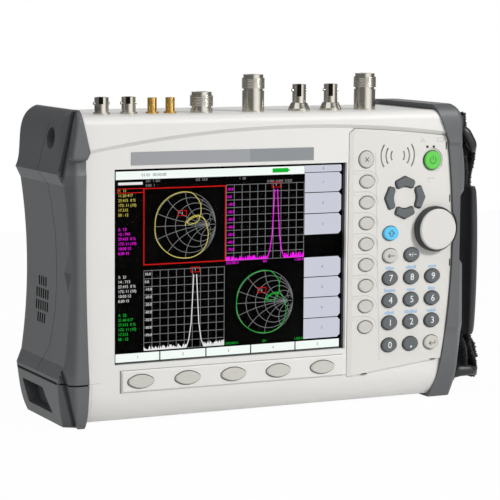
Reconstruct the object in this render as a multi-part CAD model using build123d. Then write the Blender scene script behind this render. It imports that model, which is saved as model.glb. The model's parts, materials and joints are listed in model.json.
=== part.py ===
from build123d import *
import math
import os

# Handheld vector network analyzer.
# X runs along the front from left to right, Y runs from the front to the back, Z is up.
# The origin is under the middle of the whole part, on the surface that it stands on.
# While a piece is modelled, X is zero at mid-width of the case and Y is zero on its front face.

# Shared fits
overrun = 8.0
seat_gap = 0.3
key_gap = 0.4
hole_gap = 0.1
running_gap = 0.05

# Front of the case, from left to right
left_boot_face = 15.85
screen_margin = 21.4
screen_w = 175.1
fascia_gap = 1.6
fascia_w = 82.9
right_boot_face = 18.15

# Front of the case, from the bottom up
foot_h = 2.4
chin_h = 20.1
strip_h = 14.7
strip_gap = 4.3
screen_h = 131.5
forehead_h = 35.5

# Case shells
case_depth = 92.0
split_depth = 45.0
wall = 3.0
rear_wall = 9.0
top_radius = 6.0
rear_radius = 9.0
chin_back = 10.0
chin_bulge = 2.2
brow_proud = 2.5
brow_band = 2.7
brow_left_drop = 28.6
brow_mid_drop = 10.9
brow_right_drop = 21.4
brow_mid_share = 0.565
strip_proud = 1.2
strip_inset = 4.7
strip_bevel = 1.0
rim = 2.5

# Boots at the two ends
boot_wall = 12.0
boot_top_proud = 4.0
boot_front_proud = 3.0
boot_rear_proud = 4.0
boot_slope = 7.0
boot_slope_run = 1.0
left_slope_in = 8.5
right_slope_in = 11.0
boot_front_radius = 4.0
left_rear_radius = 8.0
right_rear_radius = 4.5
boot_round = 10.0
boot_low_flare = 2.3
boot_cap_flare = 3.1
boot_cap_step = 2.5
boot_cap_in = 2.4
boot_cap_lean = 10.9
cap_proud = 2.5
cap_depth = 6.0
cap_top_in = 8.6
cap_low_in = 4.4
cap_corner = 2.6
cap_round = 2.4
cap_low_share = 0.845
cap_edge_share = 0.87
cap_top_share = 0.978
# Runs of sections as shares: height of the boot, side inset of its wall, front and rear insets of its rounding
left_boot_shares = (
    ((0, 0.40, 0.45, 0.90), (0.03, 0.28, 0.12, 0.45), (0.10, 0.08, 0, 0.20), (0.155, 0, 0, 0)),
    ((0.155, 0, 0, 0), (0.198, 0.25, 0, 0.15)),
    ((0.198, 0.25, 0, 0.15), (0.485, 0.58, 0, 0.30), (0.765, 0.25, 0, 0.20)),
    ((0.765, 0.25, 0, 0.20), (0.80, 0, 0, 0)),
    ((0.80, 0, 0, 0), (0.90, 0.20, 0, 0.25), (0.965, 0.42, 0, 0.45), (1, 0.83, 0.55, 1.40)),
)
right_boot_shares = (
    ((0, 0.82, 1.00, 0.55), (0.038, 0.75, 0.60, 0.32), (0.10, 0.63, 0.14, 0.18), (0.155, 0.50, 0.04, 0.11),
     (0.245, 0.28, 0, 0)),
    ((0.245, 0.28, 0, 0), (0.455, 0.35, 0, 0)),
    ((0.455, 0.35, 0, 0), (0.475, 0.64, 0, 0.10)),
    ((0.475, 0.64, 0, 0.10), (0.685, 0.64, 0, 0.10)),
    ((0.685, 0.64, 0, 0.10), (0.705, 0.32, 0, 0)),
    ((0.705, 0.32, 0, 0), (0.77, 0.30, 0, 0), (0.86, 0.52, 0, 0)),
    ((0.86, 0.52, 0, 0), (0.872, 0.55, -0.10, 0.05)),
    ((0.872, 0.55, -0.10, 0.05), (0.91, 0.66, -0.10, 0.15), (0.965, 0.86, -0.05, 0.35), (1, 1.30, 0.55, 1.20)),
)

# Grooves, hole and vents on the left boot
groove_depth = 14.0
groove_flank = 10.8
groove_y = 7.0
groove_back = 17.0
groove_tip = 0.6
groove_high_share = 0.735
groove_low_share = 0.235
channel_depth = 3.2
channel_y = 6.0
channel_w = 12.0
channel_waist = 7.0
channel_low_share = 0.26
channel_high_share = 0.72
post_hole_d = 14.6
post_hole_depth = 10.5
post_hole_y = 27.2
post_hole_drop = 19.5
vent_w = 2.4
vent_h = 6.6
vent_pitch_y = 4.2
vent_pitch_z = 8.4
vent_y = 55.0
vent_z = 81.0
vent_rows = (4, 6, 6, 4)

# Battery door at the lower left and the pack behind it
door_h = 29.4
recess_w = 46.0
recess_h = 16.0
recess_depth = 11.0
recess_lean = 13.0
recess_y = 50.0
recess_z = 15.0
battery_l = 185.0
battery_back = 10.0
battery_h = 20.0
battery_y = 18.0

# Keypad fascia
fascia_t = 3.0
fascia_proud = 1.2
fascia_drop = 1.1
fascia_rise = 8.5
fascia_corner_w = 4.4
fascia_corner_h = 3.1
fascia_bevel_w = 3.4
fascia_bevel_t = 0.8
fascia_top_in = 4.0
fascia_low_in = 6.5
fascia_seam = 0.3
ledge = 3.0
side_ledge = 0.5
ear_margin = 2.2
tab_lip_w = 0.8
tab_lip_h = 0.35
tab_lip_in = 3.6
tab_lip_gap = 1.6

# Keys
key_travel = 1.0
key_lip = 0.9
key_lip_t = 1.0
key_chamfer = 0.7
soft_key_w = 11.5
soft_key_h = 8.7
soft_key_proud = 1.3
soft_key_x = 13.8
soft_key_rise = 14.4
soft_key_pitch = 14.75
soft_key_count = 8
digit_key_w = 12.3
digit_key_h = 9.8
digit_key_proud = 2.0
digit_key_x = 33.4
digit_key_rise = 19.4
digit_pitch_x = 17.4
digit_pitch_z = 16.0
digit_row_count = 6
function_key_w = 18.5
function_key_h = 9.0
function_key_proud = 1.6
function_key_margin = 1.2
function_key_count = 5
escape_key_d = 11.7
escape_key_x = 13.0
escape_key_rise = 15.6
power_key_d = 13.3
power_key_x = 66.8
power_key_rise = 26.0
power_key_moat = 1.6
power_key_moat_depth = 0.7
arrow_x = 44.7
arrow_rise = 25.0
arrow_pull = 1.4
arrow_tip = 16.5
arrow_half_w = 8.2
arrow_shoulder = 12.8
arrow_foot = 8.2
arrow_foot_half_w = 6.6
arrow_eye_r = 9.3
arrow_round = 1.4
arrow_key_proud = 1.8

# Loudspeaker behind its slots
speaker_x = 38.5
speaker_rise = 29.9
speaker_d = 22.0
speaker_t = 6.0
speaker_magnet_d = 14.6
slot_r_first = 5.5
slot_r_step = 4.0
slot_count = 3
slot_w = 1.1
slot_half_angle = 36.0

# Tuning knob and its encoder
knob_inset = 14.0
knob_rise = 82.4
knob_d = 32.5
knob_cap_d = 29.2
knob_h = 6.9
knob_cap_sink = 3.0
knob_cap_crown = 0.8
knob_edge = 1.6
shaft_d = 6.0
encoder_w = 14.0
encoder_t = 7.0
shaft_depth = 5.0

# Display and boards
window_y = 5.2
window_t = 1.5
display_gap = 0.6
window_lap = 2.0
display_t = 8.0
display_border_w = 7.0
display_border_h = 5.0
board_t = 1.6
board_inset = 1.5
rf_margin = 8.0
rf_w = 222.0
rf_d = 18.0
rf_h = 52.0
main_board_drop = 10.0
main_board_foot = 36.0
main_board_margin = 16.0
fan_w = 40.0
fan_t = 10.0
fan_bore_gap = 1.5
fan_hub_d = 16.0
fan_blade_t = 1.4
fan_blade_pitch = 40.0
fan_blades = 7
fan_pin_d = 3.0
fan_spoke = 3.0

# Radio connectors on the top
jack_y = 22.0
jack_tail = 6.0
n_thread_d = 15.9
n_sleeve_d = 15.4
n_neck_d = 13.6
n_rim_d = 14.0
n_bore_d = 8.6
n_contact_d = 3.2
n_thread_h = 7.4
n_rim_h = 2.4
n_neck_h = 1.3
n_tall_sleeve_h = 14.6
n_short_sleeve_h = 3.1
n_bore_depth = 9.0
n_short_x = 110.45
n_tall_x = (149.75, 237.85)
bnc_d = 9.7
bnc_bore_d = 7.2
bnc_contact_d = 2.2
bnc_low_h = 11.5
bnc_tall_h = 18.5
bnc_base_d = 11.6
bnc_base_h = 1.6
bnc_flare_d = 15.6
bnc_flare_h = 5.6
bnc_bore_depth = 8.0
bnc_lug_d = 2.0
bnc_lug_out = 0.9
bnc_lug_drop = 4.2
bnc_low_x = (36.85, 56.45)
bnc_tall_x = (185.55, 210.45)
sma_d = 6.3
sma_base_d = 9.0
sma_base_h = 1.4
sma_bore_d = 4.4
sma_contact_d = 1.3
sma_h = 10.7
sma_bore_depth = 5.0
sma_x = (73.65, 86.95)

# Tilt bail on the back
bail_w = 150.0
bail_h = 92.0
bail_z = 150.0
bail_leg_w = 13.0
bail_bar_w = 15.0
bail_t = 6.0
bail_pin_d = 4.0
bail_pin_l = 6.0
bail_gap = 0.5
bail_corner = 5.0

# Slots and screw holes in the rear shell
rear_slot_w = 36.0
rear_slot_h = 3.0
rear_slot_pitch = 7.0
rear_slot_count = 4
rear_slot_z = 178.0
rear_slot_x = 60.0
screw_hole_d = 7.0
screw_hole_depth = 3.0
screw_margin_x = 22.0
screw_margin_z = 14.0

# Hand strap on the right
strap_y = 46.0
strap_grip_w = 48.0
strap_grip_t = 9.0
strap_grip_reach = 22.5
strap_grip_low = 40.0
strap_grip_high = 150.0
strap_grip_round = 2.4
strap_grip_crown = 2.2
strap_grip_draw = 5.0
strap_grip_thin = 0.9
webbing_w = 25.0
webbing_t = 4.4
webbing_ply = 2.0
ring_rod_d = 4.4
ring_inner_w = 30.0
ring_corner = 5.0
lug_w = 22.0
lug_wall = 3.4
lug_rise = 8.3
lug_drop = 20.0
lug_drop_in = 2.7
top_pivot_reach = 8.0
top_pivot_z = 193.5
top_bar_reach = 18.0
top_bar_z = 177.0
low_pivot_reach = 5.0
low_pivot_z = 8.6
low_bar_reach = 25.0
low_bar_z = 13.4

# Places that follow from the sizes above
case_w = left_boot_face + screen_margin + screen_w + fascia_gap + fascia_w + right_boot_face
case_left = -case_w / 2
case_right = case_w / 2
core_left = case_left + boot_wall
core_right = case_right - boot_wall
left_edge = case_left + left_boot_face
screen_left = left_edge + screen_margin
screen_right = screen_left + screen_w
screen_x = (screen_left + screen_right) / 2
fascia_left = screen_right + fascia_gap
fascia_right = fascia_left + fascia_w
chin_top = foot_h + chin_h
strip_top = chin_top + strip_h
screen_low = strip_top + strip_gap
screen_top = screen_low + screen_h
screen_z = (screen_low + screen_top) / 2
case_top = screen_top + forehead_h
boot_top = case_top + boot_top_proud
boot_rear = case_depth + boot_rear_proud
cavity_rear = case_depth - rear_wall
battery_w = case_depth - battery_back - battery_y
function_key_pitch = (screen_w - 2 * function_key_margin) / function_key_count
fascia_front = -fascia_proud
fascia_back = fascia_front + fascia_t
strip_front = -strip_proud
key_seat = fascia_back + seat_gap
board_front = key_seat + key_lip_t + key_travel + seat_gap
board_back = board_front + board_t
window_back = window_y + window_t
display_front = window_back + display_gap
display_back = display_front + display_t
knob_x = fascia_right - knob_inset
knob_z = screen_low + knob_rise
knob_back = fascia_front - seat_gap
knob_front = knob_back - knob_h
digit_x = fascia_left + digit_key_x
digit_z = chin_top + digit_key_rise
arrow_cx = fascia_left + arrow_x
arrow_cz = digit_z + (digit_row_count - 1) * digit_pitch_z + arrow_rise
speaker_cx = fascia_left + speaker_x
speaker_cz = arrow_cz + speaker_rise
power_cx = fascia_left + power_key_x
power_cz = arrow_cz + power_key_rise
fan_x = core_left + wall
fan_y = vent_y
fan_z = vent_z
rf_left = core_left + wall + rf_margin
rf_front = display_back + wall
rf_back = rf_front + rf_d
rf_top = case_top - jack_tail
eye_r = ring_rod_d / 2 + seat_gap + webbing_ply
lug_r = ring_rod_d / 2 + seat_gap + lug_wall
strap_out = max(low_bar_reach + eye_r, top_bar_reach + eye_r, strap_grip_reach)
part_right = case_right + strap_out
shift_x = -(case_left + part_right) / 2
shift_y = -(knob_front + boot_rear) / 2


def slab(x_low, x_high, y_low, y_high, z_low, z_high):
    """A box between six planes."""
    block = Box(x_high - x_low, y_high - y_low, z_high - z_low)
    return Pos((x_low + x_high) / 2, (y_low + y_high) / 2, (z_low + z_high) / 2) * block


def on_front(sketch, front, back):
    """Extrude a front-view sketch (X, Z) from the depth front to the depth back."""
    plane = Plane(origin=(0, back, 0), x_dir=(1, 0, 0), z_dir=(0, -1, 0))
    return extrude(plane * sketch, amount=back - front)


def on_side(sketch, x_low, x_high):
    """Extrude a side-view sketch (Y, Z) between two planes across X."""
    return extrude(Plane.YZ.offset(x_low) * sketch, amount=x_high - x_low)


def outline(points):
    """A face inside a closed run of straight lines."""
    return make_face(Polyline(*points, close=True))


def turned(points):
    """A solid turned about Z from a half section of (radius, height) points."""
    return revolve(Plane.XZ * outline(points), axis=Axis.Z)


def core_profile():
    """Side view of the case between its boots."""
    front = -brow_proud
    top = case_top - top_radius
    edges = [
        Line((front, chin_top), (front, top)),
        TangentArc((front, top), (front + top_radius, case_top), tangent=(0, 1)),
        Line((front + top_radius, case_top), (case_depth - rear_radius, case_top)),
        TangentArc((case_depth - rear_radius, case_top),
                   (case_depth, case_top - rear_radius), tangent=(1, 0)),
        Line((case_depth, case_top - rear_radius), (case_depth, foot_h + rear_radius)),
        TangentArc((case_depth, foot_h + rear_radius),
                   (case_depth - rear_radius, foot_h), tangent=(0, -1)),
        Line((case_depth - rear_radius, foot_h), (chin_back, foot_h)),
        ThreePointArc((chin_back, foot_h), (chin_bulge, (foot_h + chin_top) / 2), (0, chin_top)),
        Line((0, chin_top), (front, chin_top)),
    ]
    return make_face(edges)


def brow_region(lift):
    """Front view of everything below the brow's arc, raised by lift."""
    left = (case_left, case_top - brow_left_drop + lift)
    middle = (case_left + brow_mid_share * case_w, case_top - brow_mid_drop + lift)
    right = (case_right, case_top - brow_right_drop + lift)
    edges = [
        ThreePointArc(left, middle, right),
        Line(right, (case_right, -overrun)),
        Line((case_right, -overrun), (case_left, -overrun)),
        Line((case_left, -overrun), left),
    ]
    return make_face(edges)


def face_plane(depth):
    """The front-view plane at a depth."""
    return Plane(origin=(0, depth, 0), x_dir=(1, 0, 0), z_dir=(0, -1, 0))


def core_block():
    """Outer form of the case: a profile along X, stepped back below the brow's arc."""
    block = on_side(core_profile(), core_left, core_right)
    low = face_plane(0) * brow_region(0)
    high = face_plane(-2 * brow_proud) * brow_region(2 * brow_band)
    return block - loft([low, high], ruled=True)


def cavity():
    """The hollow inside the case."""
    front = wall
    low = foot_h + wall
    top = case_top - wall
    points = [
        (front, chin_top), (front, top), (cavity_rear, top), (cavity_rear, low),
        (chin_back + wall, low),
    ]
    return on_side(outline(points), core_left + wall, core_right - wall)


def fascia_edge():
    """The fascia's right edge, from its upper to its lower corner."""
    upper = (fascia_right - fascia_top_in, case_top - brow_right_drop)
    lower = (fascia_right - fascia_low_in, chin_top - fascia_drop + fascia_rise)
    middle = (fascia_right, (screen_low + screen_z) / 2 + fascia_rise)
    return upper, middle, lower


def fascia_top_right():
    """Where the fascia's right edge, leaning with the boot's cap, would meet the top of the brow."""
    upper = fascia_edge()[0]
    top = case_top - brow_mid_drop
    lean_share = (top - upper[1]) / (boot_top - upper[1])
    return upper[0] - boot_cap_lean * lean_share, top


def knob_ear(grow):
    """Front view of the fascia's ear round the knob."""
    return Pos(knob_x, knob_z) * Circle(knob_d / 2 + ear_margin + grow)


def fascia_sketch(grow):
    """Front view of the keypad fascia with its ear round the knob."""
    upper, middle, lower = fascia_edge()
    low_left = (fascia_left - grow, chin_top - fascia_drop - grow)
    corner_x, top = fascia_top_right()
    top_right = (corner_x + grow, top)
    upper = (upper[0] + grow, upper[1])
    middle = (middle[0] + grow, middle[1])
    lower = (lower[0] + grow, lower[1] - grow)
    edges = [
        Line(low_left, (fascia_left - grow, top)),
        Line((fascia_left - grow, top), top_right),
        Line(top_right, upper),
        ThreePointArc(upper, middle, lower),
        Line(lower, low_left),
    ]
    panel = make_face(edges) & brow_region(grow - fascia_seam)
    corner_z = panel.vertices().sort_by(Axis.Y)[-1].Y
    corner_left = fascia_left - grow
    corner_fall = overrun * fascia_corner_h / fascia_corner_w
    cut = outline([
        (corner_left - overrun, corner_z + overrun),
        (corner_left - overrun, corner_z - fascia_corner_h - corner_fall),
        (corner_left + fascia_corner_w, corner_z),
        (corner_left + fascia_corner_w, corner_z + overrun),
    ])
    return panel - cut + knob_ear(grow)


def fascia_opening():
    """Front view of the cut-out in the shell behind the fascia."""
    upper, middle, lower = fascia_edge()
    low = chin_top - fascia_drop + ledge
    corner_x, top = fascia_top_right()
    top_right = (corner_x - side_ledge, top)
    upper = (upper[0] - side_ledge, upper[1])
    middle = (middle[0] - side_ledge, middle[1])
    lower = (lower[0] - side_ledge, lower[1] + ledge)
    edges = [
        Line((fascia_left + ledge, low), (fascia_left + ledge, top)),
        Line((fascia_left + ledge, top), top_right),
        Line(top_right, upper),
        ThreePointArc(upper, middle, lower),
        Line(lower, (fascia_left + ledge, low)),
    ]
    return make_face(edges) & brow_region(-ledge)


def strip_sketch(grow):
    """Front view of the raised strip under the screen."""
    left = screen_left + strip_inset - grow
    right = fascia_left - fascia_seam + grow
    width = right - left
    height = strip_h + 2 * grow
    return Pos((left + right) / 2, (chin_top + strip_top) / 2) * Rectangle(width, height)


def oval(x, z, w, h, grow):
    """Front view of a round or oval key made of four tangent arcs, grown by a gap."""
    a = w / 2
    b = h / 2
    if w == h:
        return Pos(x, z) * Circle(a + grow)
    end_r = b * b / a
    side_r = a * (a + b) / (2 * b)
    run = math.hypot(a - end_r, side_r - b)
    join_x = a - end_r + (end_r + grow) * abs(a - end_r) / run
    join_z = (end_r + grow) * abs(side_r - b) / run
    arcs = [
        ThreePointArc((join_x, -join_z), (a + grow, 0), (join_x, join_z)),
        ThreePointArc((join_x, join_z), (0, b + grow), (-join_x, join_z)),
        ThreePointArc((-join_x, join_z), (-a - grow, 0), (-join_x, -join_z)),
        ThreePointArc((-join_x, -join_z), (0, -b - grow), (join_x, -join_z)),
    ]
    return Pos(x, z) * make_face(arcs)


def arrow_place(turn):
    """Place of one arrow key; the upper and lower ones stand closer to the middle."""
    pull = arrow_pull * abs(math.cos(math.radians(turn)))
    return Pos(arrow_cx, arrow_cz) * Rot(0, 0, turn) * Pos(0, -pull)


def arrow_sketch(turn, grow):
    """Front view of one arrow key, at a turn about the middle of its group."""
    points = [
        (0, arrow_tip + grow),
        (arrow_half_w + grow, arrow_shoulder),
        (arrow_foot_half_w + grow, arrow_foot - grow),
        (-arrow_foot_half_w - grow, arrow_foot - grow),
        (-arrow_half_w - grow, arrow_shoulder),
    ]
    face = outline(points)
    face = fillet(face.vertices(), arrow_round)
    face -= Circle(arrow_eye_r - grow)
    return arrow_place(turn) * face


def arrow_lip(turn):
    """Front view of the lip that holds an arrow key behind the fascia."""
    low = arrow_foot + key_lip + key_lip
    high = arrow_tip + key_lip
    lip = Pos(0, (low + high) / 2) * Rectangle(2 * (arrow_half_w + key_lip), high - low)
    return arrow_place(turn) * lip


def oval_keys():
    """Every oval or round key: name, place, size, height and the face that it stands out of."""
    keys = []
    soft_x = fascia_left + soft_key_x
    soft_z = screen_low + soft_key_rise
    for i in range(soft_key_count):
        z = soft_z + (soft_key_count - 1 - i) * soft_key_pitch
        keys.append((f"soft_key_{i + 1}", soft_x, z, soft_key_w, soft_key_h, soft_key_proud, fascia_front))
    escape_z = soft_z + (soft_key_count - 1) * soft_key_pitch + escape_key_rise
    keys.append(("escape_key", fascia_left + escape_key_x, escape_z, escape_key_d, escape_key_d,
                 soft_key_proud, fascia_front))
    keys.append(("power_key", power_cx, power_cz, power_key_d, power_key_d, soft_key_proud, fascia_front))
    rows = [
        ["digit_key_0", "point_key", "enter_key"],
        ["digit_key_1", "digit_key_2", "digit_key_3"],
        ["digit_key_4", "digit_key_5", "digit_key_6"],
        ["digit_key_7", "digit_key_8", "digit_key_9"],
        ["back_key", "sign_key"],
        ["shift_key"],
    ]
    for row, names in enumerate(rows):
        for column, name in enumerate(names):
            x = digit_x + column * digit_pitch_x
            z = digit_z + row * digit_pitch_z
            keys.append((name, x, z, digit_key_w, digit_key_h, digit_key_proud, fascia_front))
    for i in range(function_key_count):
        x = screen_x + (i - (function_key_count - 1) / 2) * function_key_pitch
        z = (chin_top + strip_top) / 2
        keys.append((f"function_key_{i + 1}", x, z, function_key_w, function_key_h,
                     function_key_proud, strip_front))
    return keys


def key_solid(cap, cap_front, lip):
    """A key cap with a chamfered rim and a lip behind the panel."""
    solid = on_front(cap, cap_front, key_seat)
    rim_edges = solid.faces().sort_by(Axis.Y)[0].edges()
    solid = chamfer(rim_edges, key_chamfer)
    return solid + on_front(lip, key_seat, key_seat + key_lip_t)


def oval_key(x, z, w, h, proud, face):
    """One oval key, with a plain rectangular lip."""
    lip = Pos(x, z) * Rectangle(w + 2 * key_lip, h + 2 * key_lip)
    return key_solid(oval(x, z, w, h, 0), face - proud, lip)


def arrow_key(turn):
    """One key of the arrow group."""
    return key_solid(arrow_sketch(turn, 0), fascia_front - arrow_key_proud, arrow_lip(turn))


def speaker_slots():
    """Front view of the curved slots in front of the loudspeaker."""
    far = slot_r_first + slot_count * slot_r_step
    half = math.tan(math.radians(slot_half_angle)) * far
    wedges = outline([(0, 0), (far, half), (far, -half)]) + outline([(0, 0), (-far, half), (-far, -half)])
    rings = Sketch()
    for i in range(slot_count):
        r = slot_r_first + i * slot_r_step
        rings += Circle(r + slot_w / 2) - Circle(r - slot_w / 2)
    return Pos(speaker_cx, speaker_cz) * (rings & wedges)


def tab_lip(z):
    """Front view of the raised lip that curls round one soft key."""
    left = fascia_left + tab_lip_in
    x = fascia_left + soft_key_x
    r = soft_key_w / 2 + tab_lip_gap
    top = z + soft_key_h / 2 + tab_lip_gap
    bar = Pos((left + x) / 2, top) * Rectangle(x - left, tab_lip_w)
    drop = top - z + tab_lip_w / 2
    width = 2 * r + tab_lip_w
    bend = oval(0, 0, width, 2 * drop, 0) - oval(0, 0, width, 2 * drop, -tab_lip_w)
    quarter = Pos(width / 2, drop) * Rectangle(width, 2 * drop)
    return bar + Pos(x, z) * (bend & quarter)


def keypad_fascia():
    """Moulded panel round the keys, with slots, lips and small notches at its seam."""
    solid = on_front(fascia_sketch(0), fascia_front, fascia_back)
    soft_z = screen_low + soft_key_rise
    lips = Sketch()
    for i in range(soft_key_count):
        lips += tab_lip(soft_z + i * soft_key_pitch)
    solid += on_front(lips, fascia_front - tab_lip_h, fascia_front)
    holes = Sketch()
    for name, x, z, w, h, proud, face in oval_keys():
        if face == fascia_front and not name.startswith("function"):
            holes += oval(x, z, w, h, key_gap)
    for turn in (0, 90, 180, 270):
        holes += arrow_sketch(turn, key_gap)
    holes += speaker_slots()
    holes += Pos(knob_x, knob_z) * Circle(shaft_d / 2 + key_gap)
    solid -= on_front(holes, fascia_front - overrun, fascia_back + overrun)
    bevel = outline([
        (fascia_left - overrun, fascia_front - overrun), (fascia_left + fascia_bevel_w, fascia_front - overrun),
        (fascia_left + fascia_bevel_w, fascia_front), (fascia_left, fascia_front + fascia_bevel_t),
        (fascia_left - overrun, fascia_front + fascia_bevel_t),
    ])
    solid -= extrude(bevel, amount=boot_top)
    moat = Circle(power_key_d / 2 + key_gap + power_key_moat)
    solid -= on_front(Pos(power_cx, power_cz) * moat, fascia_front - overrun,
                      fascia_front + power_key_moat_depth)
    return solid


def front_shell(core):
    """Front half of the case: screen opening, key strip, fascia seat and end openings."""
    solid = core & slab(case_left, case_right, -overrun, split_depth, 0, boot_top)
    strip = on_front(strip_sketch(0), strip_front, wall)
    strip_face = strip.faces().sort_by(Axis.Y)[0]
    strip = chamfer(strip_face.edges(), strip_bevel)
    solid += strip
    solid -= cavity()
    frame = Pos(screen_x, screen_z) * Rectangle(screen_w + 2 * rim, screen_h + 2 * rim)
    solid += on_front(frame, wall, window_y)
    ledge_face = fascia_sketch(0) & brow_region(-fascia_seam)
    solid += on_front(ledge_face, fascia_back, board_front) & core
    solid += on_front(strip_sketch(0), fascia_back, board_front)
    screen = Pos(screen_x, screen_z) * Rectangle(screen_w, screen_h)
    solid -= on_front(screen, -overrun, window_y + overrun)
    solid -= on_front(fascia_sketch(fascia_seam), -overrun, fascia_back)
    solid -= on_front(fascia_opening(), -overrun, board_front + overrun)
    key_bay = strip_sketch(-strip_bevel)
    solid -= on_front(key_bay, fascia_back, board_front + overrun)
    holes = Sketch()
    for name, x, z, w, h, proud, face in oval_keys():
        if name.startswith("function"):
            holes += oval(x, z, w, h, key_gap)
    solid -= on_front(holes, -overrun, fascia_back + overrun)
    solid -= jack_holes()
    solid -= end_openings()
    return solid


def end_openings():
    """Openings in the left end wall for the battery and for the fan's air."""
    low = foot_h + wall
    bay = slab(core_left - overrun, core_left + wall + overrun, battery_y - seat_gap,
               battery_y + battery_w + seat_gap, low, low + battery_h + seat_gap)
    return bay + vent_slots()


def vent_slots():
    """The slots of the side vent, in rows, through the boot and the end wall."""
    slots = Part()
    for row, count in enumerate(vent_rows):
        z = vent_z + (row - (len(vent_rows) - 1) / 2) * vent_pitch_z
        for i in range(count):
            y = vent_y + (i - (count - 1) / 2) * vent_pitch_y
            slots += slab(case_left - overrun, fan_x, y - vent_w / 2, y + vent_w / 2,
                          z - vent_h / 2, z + vent_h / 2)
    return slots


def rear_shell(core):
    """Rear half of the case: bail channel, air slots and screw holes."""
    solid = core & slab(case_left, case_right, split_depth, boot_rear + overrun, 0, boot_top)
    solid -= cavity()
    solid -= end_openings()
    channel_front = case_depth - bail_t - bail_gap
    solid -= on_front(bail_sketch(bail_gap), channel_front, case_depth + overrun)
    pin = Cylinder(bail_pin_d / 2 + running_gap, bail_w + 2 * (bail_pin_l + bail_gap))
    solid -= Pos(0, case_depth - bail_t / 2, bail_z) * Rot(0, 90, 0) * pin
    slots = Sketch()
    for side in (-1, 1):
        for i in range(rear_slot_count):
            z = rear_slot_z + (i - (rear_slot_count - 1) / 2) * rear_slot_pitch
            slots += Pos(side * rear_slot_x, z) * Rectangle(rear_slot_w, rear_slot_h)
    solid -= on_front(slots, cavity_rear - overrun, case_depth + overrun)
    screws = Sketch()
    for x in (core_left + screw_margin_x, core_right - screw_margin_x):
        for z in (foot_h + screw_margin_z, case_top - screw_margin_z):
            screws += Pos(x, z) * Circle(screw_hole_d / 2)
    return solid - on_front(screws, case_depth - screw_hole_depth, case_depth + overrun)


def bail_sketch(grow):
    """Front view of the bail: two legs and a bar, rounded over its pivots."""
    top = bail_z + bail_t / 2
    half = bail_w / 2
    frame = Pos(0, top - bail_h / 2) * Rectangle(bail_w + 2 * grow, bail_h + 2 * grow)
    gap_w = bail_w - 2 * bail_leg_w - 2 * grow
    gap_low = top - bail_h + bail_bar_w + grow
    gap_high = top + bail_h
    middle = Pos(0, (gap_low + gap_high) / 2) * Rectangle(gap_w, gap_high - gap_low)
    low_corners = frame.vertices().sort_by(Axis.Y)[:2]
    frame = fillet(low_corners, bail_corner)
    return frame - middle


def tilt_bail():
    """Folding stand: a flat U on two pins, with rounded pivot ends."""
    back = case_depth
    front = back - bail_t
    solid = on_front(bail_sketch(0), front, back)
    top = bail_z + bail_t / 2
    round_end = slab(-bail_w, bail_w, front, back, bail_z, top + overrun)
    barrel = Pos(0, back - bail_t / 2, bail_z) * Rot(0, 90, 0) * Cylinder(bail_t / 2, 2 * bail_w)
    solid -= round_end - barrel
    pin_l = bail_leg_w / 2 + bail_pin_l
    for side in (-1, 1):
        x = side * (bail_w / 2 + bail_pin_l - pin_l / 2)
        pin = Cylinder(bail_pin_d / 2, pin_l)
        solid += Pos(x, back - bail_t / 2, bail_z) * Rot(0, 90, 0) * pin
    return solid


def boot_section(slope_in, rear_radius, high_share, side_share, front_share, rear_share):
    """Plan of a boot on the right side at one height: a sloped front, a side and a rounded back."""
    reach = case_right - side_share * boot_wall
    front = -boot_front_proud + front_share * boot_round
    rear = boot_rear - rear_share * boot_round
    start = min(case_right - slope_in, reach - boot_slope_run)
    face = outline([(0, front), (start, front), (reach, front + boot_slope), (reach, rear), (0, rear)])
    for corner, radius in (((start, front), boot_front_radius), ((reach, front + boot_slope), boot_front_radius),
                           ((reach, rear), rear_radius)):
        face = fillet(face.vertices().sort_by_distance(corner)[0], radius)
    return Pos(0, 0, high_share * boot_top) * face


def boot_block(runs, slope_in, rear_radius):
    """A full boot on the right side, before its inner edge is cut: a loft through each run of sections."""
    block = Part()
    for rows in runs:
        sections = [boot_section(slope_in, rear_radius, *row) for row in rows]
        block += loft(sections, ruled=len(sections) == 2)
    return block


def left_boot_view():
    """Front view of the left boot, with its flared foot and cap."""
    edge = left_edge
    out = case_left - overrun
    top = boot_top + overrun
    low = (edge + boot_low_flare, door_h)
    high = (edge + boot_cap_flare - boot_cap_step, boot_top * cap_low_share)
    edges = [
        Line((out, -overrun), (edge, -overrun)),
        Line((edge, -overrun), low),
        ThreePointArc(low, (edge, screen_z), high),
        Line(high, (edge - boot_cap_in, boot_top)),
        Line((edge - boot_cap_in, boot_top), (edge - boot_cap_in, top)),
        Line((edge - boot_cap_in, top), (out, top)),
        Line((out, top), (out, -overrun)),
    ]
    return make_face(edges)


def left_boot_cap():
    """Rounded cap on the left boot's front pillar, wider towards its lower end."""
    low = boot_top * cap_low_share
    top = boot_top * cap_top_share
    face = outline([
        (case_left + cap_low_in, low), (left_edge + boot_cap_flare - boot_cap_step, low),
        (left_edge + boot_cap_flare, boot_top * cap_edge_share),
        (left_edge - boot_cap_in, top), (case_left + cap_top_in, top),
    ])
    face = fillet(face.vertices(), cap_corner)
    front = -boot_front_proud - cap_proud
    cap = on_front(face, front, front + cap_depth)
    return fillet(cap.faces().sort_by(Axis.Y)[0].edges(), cap_round)


def right_boot_view():
    """Front view of the right boot, along the fascia's edge."""
    upper, middle, lower = [(x + fascia_seam, z) for x, z in fascia_edge()]
    out = case_right + overrun
    top = boot_top + overrun
    edges = [
        Line((out, -overrun), (out, top)),
        Line((out, top), (upper[0] - boot_cap_lean, top)),
        Line((upper[0] - boot_cap_lean, top), (upper[0] - boot_cap_lean, boot_top)),
        Line((upper[0] - boot_cap_lean, boot_top), upper),
        ThreePointArc(upper, middle, lower),
        Line(lower, (lower[0] - fascia_low_in, -overrun)),
        Line((lower[0] - fascia_low_in, -overrun), (out, -overrun)),
    ]
    return make_face(edges)


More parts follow.
